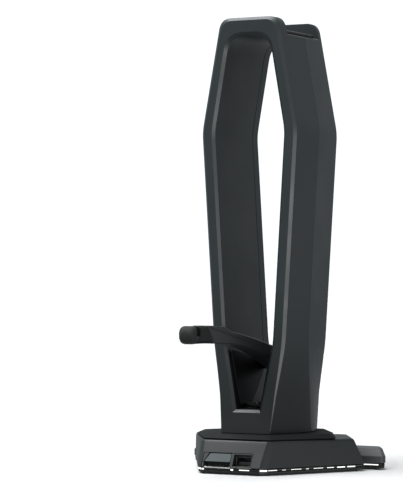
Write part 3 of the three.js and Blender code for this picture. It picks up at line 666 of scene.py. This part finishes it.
def milky(name, tone, glow=0.0):
    """White moulded plastic, slightly lit where it carries the lights."""
    n = Nodes(name)
    cloud = n.noise(80, 3)
    n.colour(n.blend(cloud, grey(tone * 0.94, (1, 0.99, 0.95)), grey(tone, (1, 1, 0.97))))
    n.rough(n.stretch(cloud, 0.35, 0.5))
    n.bump(n.noise(1200, 2), 0.08, 0.03)
    n.set({"Emission Color": (1, 0.99, 0.96, 1), "Emission Strength": glow})
    return n.material


def smoked_acrylic(name):
    """Smoked light pipe with faint flow lines."""
    n = Nodes(name)
    flow = n.noise(120, 3)
    n.colour(n.blend(flow, grey(0.006), grey(0.016)))
    n.rough(n.stretch(flow, 0.06, 0.16))
    n.bump(n.noise(500, 2), 0.15, 0.08)
    n.set({"Transmission Weight": 0.15, "IOR": PLASTIC_IOR})
    return n.material


# the tower's plastic carries painted shade that darkens it towards its foot
CHARCOAL = moulded("charcoal moulded plastic", 0.036, 0.42, painted_foot_shade=0.3)
# the collar's colour is darker than the cover's as painted shade, standing in for the tower's
# shadow over it
DECK = moulded("deck plastic", 0.012, 0.7, specular=0.15)
COVER = moulded("base cover plastic", 0.018, 0.44, specular=0.5)
BAR = moulded("rear bar plastic", 0.085, 0.4, tint=(0.95, 1, 1.03))
BEZEL = moulded("bezel plastic", 0.018, 0.5)
KEY = moulded("key plastic", 0.085, 0.42)
ARM = moulded("arm plastic", 0.033, 0.38, tint=(0.9, 1, 1.06))
CRADLE = polished("cradle plastic", 0.003, 0.4, specular=0.12)
TIP = polished("tip plastic", 0.009, 0.34, specular=0.18)
TIP_CAP = rubber("tip cap rubber", 0.008, 700)
PLATE = moulded("base plate plastic", 0.008, 0.5, tint=(1, 1, 1))
SOLE = rubber("sole rubber", 0.006, 500)
PAD = rubber("saddle pad rubber", 0.014, 600)
ZINC = plated("zinc plated steel", 0.42, 0.32)
NICKEL = plated("nickel plated steel", 0.58, 0.2, (1, 0.99, 0.95))
IRON = cast_iron("cast iron")
BOARD = solder_mask("circuit board")
CHIP = epoxy("epoxy package")
TONGUE = milky("port tongue", 0.7)
LIGHTS = milky("light strip", 0.86, 1.2)
ACRYLIC = smoked_acrylic("smoked acrylic")
BLACK_ZINC = plated("black zinc", 0.05, 0.5)
BLACK_NICKEL = plated("black nickel", 0.25, 0.5)
DARK_TONGUE = milky("front port tongue", 0.05)
# painted highlight: a lighter grey for the strips that stand in for the rim's top edge catching
# light
RIM_HIGHLIGHT = milky("painted rim highlight", 0.25)
GOLD = plated("gilt contacts", 0.7, 0.25, (1, 0.78, 0.4))

# Material and edge rounding of the CAD pieces that are shown as they are.
NODE_FINISH = {
    "base_weight": (IRON, 0.5), "hub_board": (BOARD, 0.1), "front_board": (BOARD, 0.1),
    "hub_controller": (CHIP, 0.15), "hub_capacitor": (CHIP, 0.3), "key_switch": (CHIP, 0),
    "key_spring": (NICKEL, 0), "arm_pivot_pin": (NICKEL, 0.3), "pivot_washer_left": (NICKEL, 0.1),
    "pivot_washer_right": (NICKEL, 0.1), "led_strip": (LIGHTS, 0), "host_inlet": (NICKEL, 0),
    "inlet_tongue": (TONGUE, 0.1), "usb_port_front": (BLACK_NICKEL, 0.12),
    "usb_port_left": (NICKEL, 0.12), "usb_port_right": (NICKEL, 0.12),
    "usb_tongue_front": (DARK_TONGUE, 0.1), "usb_tongue_left": (TONGUE, 0.1),
    "usb_tongue_right": (TONGUE, 0.1),
}


def finish_node(name, node):
    """Gives a carried-over CAD node its material, and eases its edges by modifiers only."""
    material, width = NODE_FINISH[name]
    node.data.materials.clear()
    node.data.materials.append(material)
    for polygon in node.data.polygons:
        polygon.material_index = 0
    weld = node.modifiers.new("weld", "WELD")
    weld.merge_threshold = 1e-6
    if width:
        flat = node.modifiers.new("flat faces joined", "DECIMATE")
        flat.decimate_type = "DISSOLVE"
        flat.angle_limit = FLAT
        rounding(node, width)
    node.data.shade_smooth()
    normals = node.modifiers.new("flat shading", "WEIGHTED_NORMAL")
    normals.keep_sharp = True


# ---- tower ----
def saddle_cutter(depth):
    """The space above the crowned rest, from depth below its surface."""
    return prism_y("saddle", saddle_band(-depth, 30, 32), SADDLE_FRONT_Y, SADDLE_REAR_Y)


def saddle_band(low, high, reach):
    """The crowned rest's X-Z outline, between two heights above its surface."""
    steps = 24
    arc = []
    for k in range(steps + 1):
        x = lerp(-reach, reach, k / steps)
        arc.append((x, SADDLE_Z - x * x / (2 * SADDLE_CROWN)))
    return [(x, z + low) for x, z in arc] + [(x, z + high) for x, z in reversed(arc)]


def front_edges():
    """Both edges of the front chamfer, which narrows towards the foot."""
    outer = tower_side(FRONT_HALF)
    inner = []
    raised = []
    for (x0, z0), (x1, z1) in zip(outer, tower_side(FRONT_HALF, CHAMFER)):
        up = max(0, min(1, (z0 - LEVELS["foot"]) / (LEVELS["hip"] - LEVELS["foot"])))
        share = lerp(0.12, 1, up)
        inner.append((lerp(x0, x1, share), front_y(z0), lerp(z0, z1, share)))
        raised.append((x0, front_y(z0) + CHAMFER * share, z0))
    return both_sides(inner), both_sides(raised)


def side_loops(edge, ridge, edge_y, ridge_y):
    """Loops between an edge and the side ridge: flat above the hip, bowed out at the foot."""
    loops = []
    for k in range(1, BOW_STEPS):
        t = k / BOW_STEPS
        loop = []
        for (x0, z0), (x1, z1) in zip(edge, ridge):
            low = max(0, min(1, (LEVELS["hip"] - z0) / (LEVELS["hip"] - LEVELS["foot"])))
            bow = 1 - (1 - t) ** (1 + 0.45 * low)
            y0 = edge_y(z0) if callable(edge_y) else edge_y
            loop.append((lerp(x0, x1, bow), lerp(y0, ridge_y, t), lerp(z0, z1, t)))
        loops.append(both_sides(loop))
    return loops


def half_at(table, levels, z):
    """Half-width at height z, from half-widths given at named levels."""
    for low, high in zip(table, list(table)[1:]):
        if z <= levels[high]:
            return lerp(table[low], table[high], (z - levels[low]) / (levels[high] - levels[low]))


def boss_x(z):
    """Middle of the limb between the tower's front edge and the passage."""
    return (half_at(FRONT_HALF, LEVELS, z) + half_at(PASSAGE, PASSAGE_LEVELS, z)) / 2


SCREW_SPOTS = [(sign * boss_x(z), z) for z in SCREW_LEVELS for sign in (1, -1)]


def passage_block(grow, rear_y, near_y):
    """A plug with the passage's outline, from rear_y to near_y, either of them y or y(z)."""
    loops = [around(passage_side(grow), y) for y in (rear_y, near_y)]
    return stack_of_loops("passage", loops, True)


def tower_cavity():
    """The space inside both shells: two limbs, joined below the passage."""
    lift = LEVELS["foot"] - CAVITY_FLOOR
    loops = [
        around(tower_side(REAR_HALF, WALL, lift), HALF_DEPTH - WALL),
        around(tower_side(RIDGE_HALF, WALL, lift), 0),
        around(tower_side(FRONT_HALF, WALL, lift), lambda z: front_y(z) + WALL),
    ]
    top = box_mesh(-60, 60, -60, 60, CAVITY_TOP, HEIGHT + 20)
    return cut_tool(stack_of_loops("cavity", loops, True),
                    [passage_block(2.2, HALF_DEPTH, lambda z: front_y(z) - 2), top])


def finish_shell(piece, node, bosses, holes, seats=()):
    carve(piece, [saddle_cutter(PAD_THICK)])
    clean(piece)
    ease(piece, 0.35)
    carve(piece, [tower_cavity()])
    carve(piece, [joined(bosses)], "UNION")
    carve(piece, [joined(holes)])
    if seats:
        carve(piece, [joined(seats)])
    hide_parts(node)
    shaded(piece)


def foot_parts(front):
    """Bosses over the foot screws, and their holes, in the front or the rear half."""
    spots = [(x, y) for x, y in FOOT_SPOTS if (y < 0) == front]
    return (rods("z", spots, LEVELS["foot"] + 0.5, 9, 3),
            rods("z", spots, LEVELS["foot"] - 1, 10, 1.35))


def front_shell():
    loops = [
        around(passage_side(), SPLIT_INNER_Y),
        around(passage_side(), lambda z: front_y(z) + PASSAGE_CHAMFER),
        around(passage_side(PASSAGE_CHAMFER), front_y),
        *front_edges(),
        *side_loops(tower_side(FRONT_HALF), tower_side(RIDGE_HALF),
                    lambda z: front_y(z) + CHAMFER, -PARTING),
        around(tower_side(RIDGE_HALF), -PARTING),
        around(passage_side(RING_WALL), -PARTING),
        around(passage_side(RING_WALL), SPLIT_INNER_Y),
    ]
    piece = new_object("tower_front", ring_of_loops("tower_front", loops), "stand", CHARCOAL)
    bosses, holes = foot_parts(True)
    bosses += rods("y", SCREW_SPOTS, 1 - HALF_DEPTH, HALF_DEPTH - 1 + BOSS_SPLIT_Y, 2.5)
    bosses += rods("z", [CRADLE_SCREW[:2]], 30, 7.5, 3)
    holes += rods("y", SCREW_SPOTS, -4, HALF_DEPTH, 1.25, 16)
    holes += rods("z", [CRADLE_SCREW[:2]], 29, 12, 1.35, 16)
    finish_shell(piece, "tower_front_shell", bosses, holes)


def rear_shell():
    inner_y = SPLIT_INNER_Y + GAP
    wall = RING_WALL + GAP
    loops = [
        around(passage_side(), inner_y),
        around(passage_side(), HALF_DEPTH - REAR_EASE),
        around(passage_side(REAR_EASE), HALF_DEPTH),
        around(tower_side(REAR_HALF, CHAMFER), HALF_DEPTH),
        around(tower_side(REAR_HALF), HALF_DEPTH - CHAMFER),
        *side_loops(tower_side(REAR_HALF), tower_side(RIDGE_HALF), HALF_DEPTH - CHAMFER, PARTING),
        around(tower_side(RIDGE_HALF), PARTING),
        around(passage_side(wall), PARTING),
        around(passage_side(wall), inner_y),
    ]
    piece = new_object("tower_rear", ring_of_loops("tower_rear", loops), "stand", CHARCOAL)
    bosses, holes = foot_parts(False)
    socket_y = BOSS_SPLIT_Y + GAP
    bosses += rods("y", SCREW_SPOTS, socket_y, HALF_DEPTH - 1 - socket_y, 2.5)
    holes += rods("y", SCREW_SPOTS, socket_y - 2, 20, 1.25, 16)
    heads = rods("y", SCREW_SPOTS, SCREW_HEAD_Y, 12, 2.1, 32)
    finish_shell(piece, "tower_rear_shell", bosses, holes, heads)


def saddle_pad():
    mesh = prism_y("saddle_cushion", saddle_band(GAP / 2 - PAD_THICK, 0, 18.6),
                   SADDLE_FRONT_Y + GAP, SADDLE_REAR_Y - GAP)
    piece = new_object("saddle_cushion", mesh, "stand", PAD)
    ease(piece, 0.7, 4, 40)
    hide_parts("saddle_pad")
    shaded(piece)


# ---- arm ----
def arm_outline():
    start = math.radians(-105)
    sweep = math.radians(212)
    knuckle = [(PIVOT_Y + KNUCKLE * math.cos(start + sweep * k / 22),
                PIVOT_Z + KNUCKLE * math.sin(start + sweep * k / 22)) for k in range(23)]
    outline = spline(BLADE_TOP, 26) + [
        SLEEVE_REAR,
        (JOINT_TOP_Y + GAP, TIP_TOP + 0.1),
        (JOINT_BOTTOM_Y + GAP, TIP_BOTTOM - 0.1),
    ] + spline(BLADE_BOTTOM, 26) + knuckle
    return soft_corners(outline, 1.2, sharp=18)


def arm_blade():
    piece = new_object("arm_blade", rounded_plate("arm_blade", arm_outline(), ARM_HALF, 1.0), "arm",
                       ARM)
    carve(piece, [rod_mesh("x", (-10, PIVOT_Y, PIVOT_Z), 20, 1.7)])
    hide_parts("bungee_arm")
    shaded(piece)


def tip_section(y, trim_x=0, trim_z=0, power=0.5):
    """The tip's rounded cross-section at depth y; a power of 1 makes it an ellipse."""
    middle = (TIP_TOP + TIP_BOTTOM) / 2
    wide, tall = ARM_HALF - trim_x, (TIP_TOP - TIP_BOTTOM) / 2 - trim_z
    loop = []
    for k in range(48):
        c, s = math.cos(math.tau * k / 48), math.sin(math.tau * k / 48)
        loop.append((wide * math.copysign(abs(c) ** power, c), y,
                     middle + tall * math.copysign(abs(s) ** power, s)))
    return loop


def tip_body():
    mesh = stack_of_loops("tip_grip", [tip_section(y, 0.1, 0.1) for y in (-80, CAP_SPLIT_Y)])
    piece = new_object("tip_grip", mesh, "arm", TIP)
    run, rise = JOINT_BOTTOM_Y - JOINT_TOP_Y, TIP_TOP - TIP_BOTTOM
    behind = [(JOINT_TOP_Y - run, TIP_TOP + rise), (JOINT_BOTTOM_Y + run, TIP_BOTTOM - rise),
              (-60, TIP_BOTTOM - rise), (-60, TIP_TOP + rise)]
    carve(piece, [prism_x("joint", behind, -9, 9),
                  box_mesh(-9, 9, SLOT_FRONT_Y - 1, SLOT_REAR_Y, SLOT_FLOOR_Z, 99)])
    clean(piece)
    ease(piece, 0.3, angle=40)
    carve(piece, [box_mesh(-TENON_HALF, TENON_HALF, TENON_FRONT_Y, SLOT_FRONT_Y + 2.6, *TENON_Z)],
          "UNION")
    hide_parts("arm_tip_body")
    shaded(piece)


def tip_cap():
    nose, shrink_x, shrink_z = 4.4, 3, 4.6
    loops = [tip_section(CAP_SPLIT_Y - GAP)]
    for k in range(11):
        a = math.pi / 2 * k / 10
        round_off = 1 - math.cos(a)
        loops.append(tip_section(TIP_NOSE_Y + nose * (1 - math.sin(a)), shrink_x * round_off,
                                 shrink_z * round_off, lerp(0.5, 0.9, k / 10)))
    piece = new_object("tip_nose", stack_of_loops("tip_nose", loops), "arm", TIP_CAP)
    carve(piece, [box_mesh(-9, 9, SLOT_FRONT_Y, -90, SLOT_FLOOR_Z - GAP, 99)])
    clean(piece)
    ease(piece, 0.3, angle=40)
    ease_by = GAP / 2
    half = TENON_HALF + ease_by
    carve(piece, [box_mesh(-half, half, TENON_FRONT_Y - ease_by, -90, TENON_Z[0] - ease_by,
                           TENON_Z[1] + ease_by)])
    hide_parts("arm_tip_cap")
    shaded(piece)


def cradle():
    """Two cheeks and a floor that line the lower passage and carry the arm's pivot."""
    piece = new_object("cradle", prism_x("cradle", soft_corners(CHEEK, 1.6), -30, 30), "stand",
                       CRADLE)
    carve(piece, [passage_block(-GAP, 20, CHEEK[0][0])], "INTERSECT")
    carve(piece, [cut_tool(passage_block(-CHEEK_THICK, 30, -40),
                           [box_mesh(-40, 40, -50, 50, 0, CRADLE_FLOOR_TOP)]),
                  box_mesh(-20, 20, -27, -20, 38, CRADLE_FLOOR_TOP)])
    clean(piece)
    ease(piece, 0.45, angle=40)
    near, far = EAR_X
    carve(piece, [joined([rod_mesh("x", (x, PIVOT_Y, PIVOT_Z), far - near, EAR_RADIUS, 40)
                          for x in (-far, near)])], "UNION")
    carve(piece, [rod_mesh("x", (-11.4, PIVOT_Y, PIVOT_Z), 22.8, 1.65),
                  *rods("z", [CRADLE_SCREW[:2]], 36, 8, 1.4, 32)])
    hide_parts("arm_cradle")
    shaded(piece)


# ---- base ----
FOOTPRINT = both_sides(COVER_FOOT[:3] + [BAR_ROOT] + BAR_FOOT)
PLAIN_FOOTPRINT = both_sides(COVER_FOOT[:3] + [BAR_ROOT, (69, BAR_ROOT[1]), (55.8, BAR_REAR_Y)])
FRONT_SLOPE = (COVER_SHOULDER[0][1] - COVER_FOOT[0][1]) / (SHOULDER_Z - COVER_BOTTOM)


def face_y(z):
    """The leaning front face of the base."""
    return COVER_FOOT[0][1] + FRONT_SLOPE * (z - COVER_BOTTOM)


def cover_block(grow=0):
    def loop(right):
        return inset(both_sides(right), -grow)
    skirt = [(0, loop(COVER_FOOT))] if grow else []
    return layers("cover", skirt + [
        (COVER_BOTTOM, loop(COVER_FOOT)),
        (SHOULDER_Z + grow, loop(COVER_SHOULDER)),
        (LOWER_DECK_Z + grow, loop(COVER_TOP)),
    ])


def base_cover():
    piece = new_object("cover", cover_block(), "stand", COVER)
    ease(piece, 0.5, 4)
    inner = layers("inner", [
        (0, inset(both_sides(COVER_FOOT), WALL)),
        (COVER_BOTTOM, inset(both_sides(COVER_FOOT), WALL)),
        (COVER_CEILING, inset(both_sides(COVER_SHOULDER), WALL)),
    ])
    spots = BASE_SCREWS[:6]
    bores = rods("z", spots, 0, 16.5, 1.4, 16) + rods("z", FOOT_SPOTS, 10, 20, 1.6, 16)
    carve(piece, [inner])
    carve(piece, [joined(rods("z", spots, COVER_BOTTOM, 14.2, 3))], "UNION")
    carve(piece, [joined(bores), box_mesh(BAY_X0, BAY_X1, -70, -40, 0, BAY_Z1),
                  box_mesh(-62, 62, 23, 60, 0, 12.4)])
    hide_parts("base_cover")
    shaded(piece)


def deck_collar():
    foot, rebate, gap_z = both_sides(COLLAR_FOOT), 0.9, LOWER_DECK_Z + 0.9
    mesh = layers("collar", [
        (LOWER_DECK_Z + 0.2, inset(foot, rebate)), (gap_z, inset(foot, rebate)), (gap_z, foot),
        (DECK_Z, both_sides(COLLAR_TOP)),
    ])
    piece = new_object("collar", mesh, "stand", DECK)
    ease(piece, 0.3)
    carve(piece, [joined(rods("z", FOOT_SPOTS, 10, 20, 1.6, 16))])
    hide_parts("deck_collar")
    shaded(piece)


def bar_block(trim=0):
    def loop(right):
        return inset(both_sides(right), trim)
    return layers("bar", [
        (0 if trim else COVER_BOTTOM, loop(BAR_FOOT)),
        (BAR_WAIST_Z, loop(BAR_FOOT)),
        (BAR_TOP - trim, loop(BAR_CROWN)),
    ])


def rear_bar():
    piece = new_object("bar", bar_block(), "stand", BAR)
    ease(piece, 0.4)
    edge = 0.1
    windows = [box_mesh(x - spec["half"] - edge, x + spec["half"] + edge, 40, 50,
                        spec["z0"] - edge, spec["z1"] + edge)
               for x, spec in ((-REAR_PORT_X, PORT), (REAR_PORT_X, PORT), (0, INLET))]
    spots = BASE_SCREWS[6:]
    carve(piece, [bar_block(2), cover_block(GAP)])
    carve(piece, [joined(rods("z", spots, COVER_BOTTOM, 8, 2.6))], "UNION")
    carve(piece, [joined(windows), joined(rods("z", spots, 0, 11, 1.4, 16))])
    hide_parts("rear_bar")
    shaded(piece)


def key_outline(grow=0):
    return [(KEY_X0 - grow, KEY_Z0 - grow), (KEY_X1 + grow, KEY_Z0 - grow),
            (KEY_X1 + grow, KEY_Z1 + grow), (KEY_X0 + KEY_SLANT - grow, KEY_Z1 + grow)]


def front_bezel():
    """Frame of the front bay: the key's well, a ribbed slot under it, and the port's recess."""
    low, top = COVER_BOTTOM + 0.1, BAY_Z1 - GAP
    back = BEZEL_BACK_Y + 2
    side = [(face_y(low) + 0.2, low), (back, low), (back, top), (face_y(top) + 0.2, top)]
    piece = new_object("bezel", prism_x("bezel", side, BAY_X0 + GAP, BAY_X1 - GAP), "stand",
                       BEZEL)
    x, half = FRONT_PORT_X, PORT["half"] + 0.2
    slot_x0, slot_x1, slot_back = BAY_X0 + 1.2, KEY_X1 + 0.5, BEZEL_BACK_Y - 1
    carve(piece, [
        prism_y("well", key_outline(0.4), -70, BEZEL_BACK_Y),
        box_mesh(slot_x0, slot_x1, -70, slot_back, 0, KEY_Z0 - 0.1),
        box_mesh(*RECESS_X, -70, FRONT_PORT_Y - 0.6, COVER_BOTTOM + 0.9, BAY_Z1 - 0.9),
        box_mesh(x - half, x + half, FRONT_PORT_Y - 0.7, -40, PORT["z0"] - 0.2,
                 PORT["z1"] + 0.2),
        *rods("y", [KEY_STEM], -60, 30, 1.7),
        *rods("y", [KEY_GUIDE], -60, 30, 1.1),
    ])
    ribs = []
    for k in range(RIB_COUNT):
        rib_x = lerp(slot_x0 + 0.5, slot_x1 - 1, k / (RIB_COUNT - 1))
        ribs.append(box_mesh(rib_x, rib_x + RIB_WIDTH, slot_back - 1.3, slot_back + 0.2,
                             low + 0.05, KEY_Z0 - 0.6))
    carve(piece, [joined(ribs)], "UNION")
    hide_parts("front_bezel")
    shaded(piece)


def light_key():
    outline = key_outline()
    loops = [[(x, face_y(z) + 0.5, z) for x, z in outline],
             [(x, KEY_BACK_Y, z) for x, z in outline]]
    piece = new_object("key_tile", stack_of_loops("key_tile", loops), "key", KEY)
    ease(piece, 0.35)
    y = KEY_BACK_Y - 0.2
    stems = rods("y", [KEY_STEM], y, 3.6, 1.4) + rods("y", [KEY_GUIDE], y, 4.6, 0.8, 16)
    carve(piece, [joined(stems)], "UNION")
    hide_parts("light_key")
    shaded(piece)


# Windows of the light rim: edge of the footprint, start and end along it, and their heights.
NOSE, CORNER, FLANK, WING, TAIL = range(5)
RIM_WINDOWS = [
    (NOSE, 0.3, 1.7, 2.7, 3.6), (NOSE, 20.2, 21.8, 2.75, 3.7), (NOSE, 26.0, 32.8, 2.95, 3.5),
    (CORNER, 0.5, 4.9, 2.75, 3.7),
    (FLANK, 0.4, 6.8, 3.1, 3.5), (FLANK, 10.5, 13.0, 3.15, 3.4), (FLANK, 17.0, 24.5, 3.15, 3.45),
    (FLANK, 28.0, 30.0, 3.1, 3.4), (FLANK, 33.5, 40.5, 3.15, 3.45), (FLANK, 43.5, 48.5, 3.1, 3.5),
    (FLANK, 51.0, 56.8, 2.95, 3.6), (FLANK, 58.6, 64.4, 2.95, 3.6),
    (WING, 1.0, 12.8, 2.95, 3.55), (TAIL, 2.0, 16.0, 2.95, 3.55),
]
RIM_EDGES = {NOSE: (-1, 0), CORNER: (0, 1), FLANK: (1, 2), WING: (3, 4), TAIL: (5, 6)}
REAR_WINDOWS = [(-48, -38), (-30, -14), (-8, 8), (14, 30), (38, 48)]
LIT_Z = (2.95, 3.55)
RIM_HIGHLIGHT_Z = (3.55, 3.75)
RIM_INSET = 0.5


def light_rim():
    slope = 0.25
    outer = [(RING_BOTTOM, RIM_INSET + slope), (RING_BOTTOM + slope, RIM_INSET),
             (RING_TOP - slope, RIM_INSET), (RING_TOP, RIM_INSET + slope)]
    mesh = layers("rim", [(z, inset(FOOTPRINT, d)) for z, d in outer])
    piece = new_object("rim", mesh, "stand", ACRYLIC)
    hole = inset(PLAIN_FOOTPRINT, 3.2)
    carve(piece, [layers("hole", [(RING_BOTTOM - 1, hole), (RING_TOP + 1, hole)])])
    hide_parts("light_ring")
    shaded(piece)


def rim_window(start, end, low, high):
    """A thin bar set flush into the rim between two points of its outer face."""
    a, b = Vector(start), Vector(end)
    along = (b - a).normalized()
    inwards = Vector((-along.y, along.x)) * 0.5
    outwards = Vector((along.y, -along.x)) * 0.06
    outline = [a + outwards, b + outwards, b + inwards, a + inwards]
    return layers("window", [(low, outline), (high, outline)])


def rim_windows():
    path = inset(FOOTPRINT, RIM_INSET)
    bars = []
    for edge, start, end, low, high in RIM_WINDOWS:
        first, second = RIM_EDGES[edge]
        a, b = Vector(path[first]), Vector(path[second])
        along = (b - a).normalized()
        p, q = a + along * start, a + along * min(end, (b - a).length - 0.1)
        bars.append(rim_window(p, q, low, high))
        if edge != NOSE:
            bars.append(rim_window((-q.x, q.y), (-p.x, p.y), low, high))
    rear = BAR_REAR_Y - RIM_INSET
    bars += [rim_window((b, rear), (a, rear), *LIT_Z) for a, b in REAR_WINDOWS]
    shaded(new_object("rim_windows", joined(bars, "rim_windows"), "stand", LIGHTS))
    # painted highlight: thin grey strips along the rim's top edge, where that edge would catch the
    # light
    lines = [rim_window(path[a], path[b], *RIM_HIGHLIGHT_Z) for a, b in ((0, 1), (1, 2), (-2, -1), (-3, -2))]
    shaded(new_object("rim_highlight", joined(lines, "rim_highlight"), "stand", RIM_HIGHLIGHT))


def base_plate():
    outline = inset(FOOTPRINT, 0.7)
    piece = new_object("plate", layers("plate", [(SOLE_TOP + 0.1, outline), (PLATE_TOP, outline)]),
                       "stand", PLATE)
    ease(piece, 0.3)
    carve(piece, [joined(rods("z", BASE_SCREWS, 0, 8, 1.5)),
                  joined(rods("z", BASE_SCREWS, 0, 1.95, 2.9, 32))])
    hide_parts("base_plate")
    shaded(piece)


def rubber_sole():
    outline = inset(PLAIN_FOOTPRINT, 4.6)
    piece = new_object("sole", layers("sole", [(0, outline), (SOLE_TOP, outline)]), "stand",
                       SOLE)
    ease(piece, 0.3)
    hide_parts("rubber_sole")
    shaded(piece)


# ---- screws and contacts ----
def screw(node, axis, seat, sign, head, height, shank, length, finish=ZINC):
    """A button-head screw: threaded shank, domed head and a hexagon socket."""
    sides, pitch = 24, 1.0
    core = shank * 0.82
    profile = [(length, shank * 0.55)]
    for k in range(int((length - 1.2) / pitch)):
        at = length - 0.6 - k * pitch
        profile += [(at, core), (at - pitch / 2, shank)]
    profile += [(0.4, core), (0, shank)]
    profile += [(0, head), (-0.35 * height, head), (-0.7 * height, head * 0.92),
                (-0.92 * height, head * 0.76), (-height, head * 0.56)]
    socket = [(-height, head * 0.46), (-0.45 * height, head * 0.44)]
    sixth = math.pi / 3
    flats = [math.cos(sixth / 2) / math.cos(math.tau * i / sides % sixth - sixth / 2)
             for i in range(sides)]
    loops = [turned_loop(axis, seat, distance * sign, [radius] * sides)
             for distance, radius in profile]
    loops += [turned_loop(axis, seat, distance * sign, [radius * flat for flat in flats])
              for distance, radius in socket]
    name = "fixing_" + node
    piece = new_object(name, stack_of_loops(name, loops), "stand", finish)
    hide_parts(node)
    shaded(piece)


def screws():
    for i, (x, z) in enumerate(SCREW_SPOTS, 1):
        screw(f"tower_screw_{i}", "y", (x, SCREW_HEAD_Y + 0.05, z), -1, 1.9, 1.6, 1.1, 22)
    for i, (x, y) in enumerate(FOOT_SPOTS, 1):
        screw(f"foot_screw_{i}", "z", (x, y, COVER_CEILING - 0.05), 1, 2.6, 1.6, 1.2, 14)
    screw("cradle_screw", "z", CRADLE_SCREW, -1, 2.2, 1.3, 1.2, 9, BLACK_ZINC)
    for i, (x, y) in enumerate(BASE_SCREWS, 1):
        screw(f"base_screw_{i}", "z", (x, y, 1.9), 1, 2.7, 0.65, 1.2, 12 if i < 7 else 8)
    for i, (x, y) in enumerate(BOARD_SCREWS, 1):
        screw(f"board_screw_{i}", "z", (x, y, 8.45), -1, 1.9, 1.1, 1, 4.6)


def contacts(name, x, mouth_y, sign, finish):
    """Four contact strips lying on the tongue of a port that opens towards sign."""
    y0, y1 = sorted((mouth_y - sign * 1.6, mouth_y - sign * 9))
    half, pitch = 0.55, 2.4
    strips = [box_mesh(x + k * pitch - half, x + k * pitch + half, y0, y1, TONGUE_TOP,
                       TONGUE_TOP + 0.08) for k in (-1.5, -0.5, 0.5, 1.5)]
    shaded(new_object(name, joined(strips, name), "stand", finish))


front_shell()
rear_shell()
saddle_pad()
cradle()
arm_blade()
tip_body()
tip_cap()
base_cover()
deck_collar()
rear_bar()
front_bezel()
light_key()
light_rim()
rim_windows()
base_plate()
rubber_sole()
screws()
contacts("contacts_front", FRONT_PORT_X, FRONT_PORT_Y, -1, BLACK_NICKEL)
contacts("contacts_left", -REAR_PORT_X, REAR_PORT_Y, 1, GOLD)
contacts("contacts_right", REAR_PORT_X, REAR_PORT_Y, 1, GOLD)
for name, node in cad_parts.items():
    if not node.hide_render:
        finish_node(name, node)

# ---- stage: floor, light and camera ----
CAMERA_DISTANCE = 1.50424
CAMERA_AZIMUTH = math.radians(27)
CAMERA_HEIGHT = 0.12518
CAMERA_PAN = math.radians(1.64)
CAMERA_PITCH = math.radians(0.44)
LENS = 173.0


def make_floor():
    mesh = bpy.data.meshes.new("floor")
    size = 12  # metres
    mesh.from_pydata([(-size, -size, 0), (size, -size, 0), (size, size, 0), (-size, size, 0)],
                     [], [(0, 1, 2, 3)])
    floor = placed("floor", mesh)
    n = Nodes("floor")
    n.colour(n.blend(n.noise(3, 3), grey(0.80), grey(0.84)))
    n.rough(0.9)
    n.set({"Specular IOR Level": 0.1})
    mesh.materials.append(n.material)
    floor.visible_diffuse = False
    floor.visible_glossy = False
    floor.visible_shadow = False


def make_world():
    world = bpy.data.worlds.new("studio")
    world.use_nodes = True
    tree = world.node_tree
    background = tree.nodes["Background"]
    background.inputs["Color"].default_value = (0.94, 1, 1.03, 1)
    path = tree.nodes.new("ShaderNodeLightPath")
    strength = tree.nodes.new("ShaderNodeMapRange")
    strength.inputs["To Min"].default_value = 0.38
    strength.inputs["To Max"].default_value = 1.1
    tree.links.new(path.outputs["Is Camera Ray"], strength.inputs["Value"])
    tree.links.new(strength.outputs["Result"], background.inputs["Strength"])
    bpy.context.scene.world = world


def make_sun(name, azimuth, elevation, strength, spread, gloss_only=False):
    """A distant soft light. Azimuth 0 shines from the user's side, 90 from the right."""
    light = bpy.data.lights.new(name, "SUN")
    light.energy = strength
    light.angle = math.radians(spread)
    lamp = placed(name, light)
    a, e = math.radians(azimuth), math.radians(elevation)
    towards = Vector((math.sin(a) * math.cos(e), -math.cos(a) * math.cos(e), math.sin(e)))
    lamp.rotation_euler = towards.to_track_quat("Z", "Y").to_euler()
    lamp.visible_diffuse = not gloss_only


def make_camera():
    data = bpy.data.cameras.new("camera")
    data.lens = LENS
    data.sensor_width = 36
    data.clip_start, data.clip_end = 0.05, 50
    camera = placed("camera", data)
    camera.location = (CAMERA_DISTANCE * math.sin(CAMERA_AZIMUTH),
                       -CAMERA_DISTANCE * math.cos(CAMERA_AZIMUTH), CAMERA_HEIGHT)
    camera.rotation_euler = (math.radians(90) + CAMERA_PITCH, 0, CAMERA_AZIMUTH + CAMERA_PAN)
    bpy.context.scene.camera = camera


make_floor()
make_world()
make_sun("overhead", -45, 74, 2.7, 40)
make_sun("key", -22, 42, 0.72, 32)
make_sun("right", 60, -10, 1.3, 24, True)
make_sun("rim", -90, 60, 1.2, 24, True)
make_camera()
bpy.context.scene.view_settings.view_transform = "Standard"
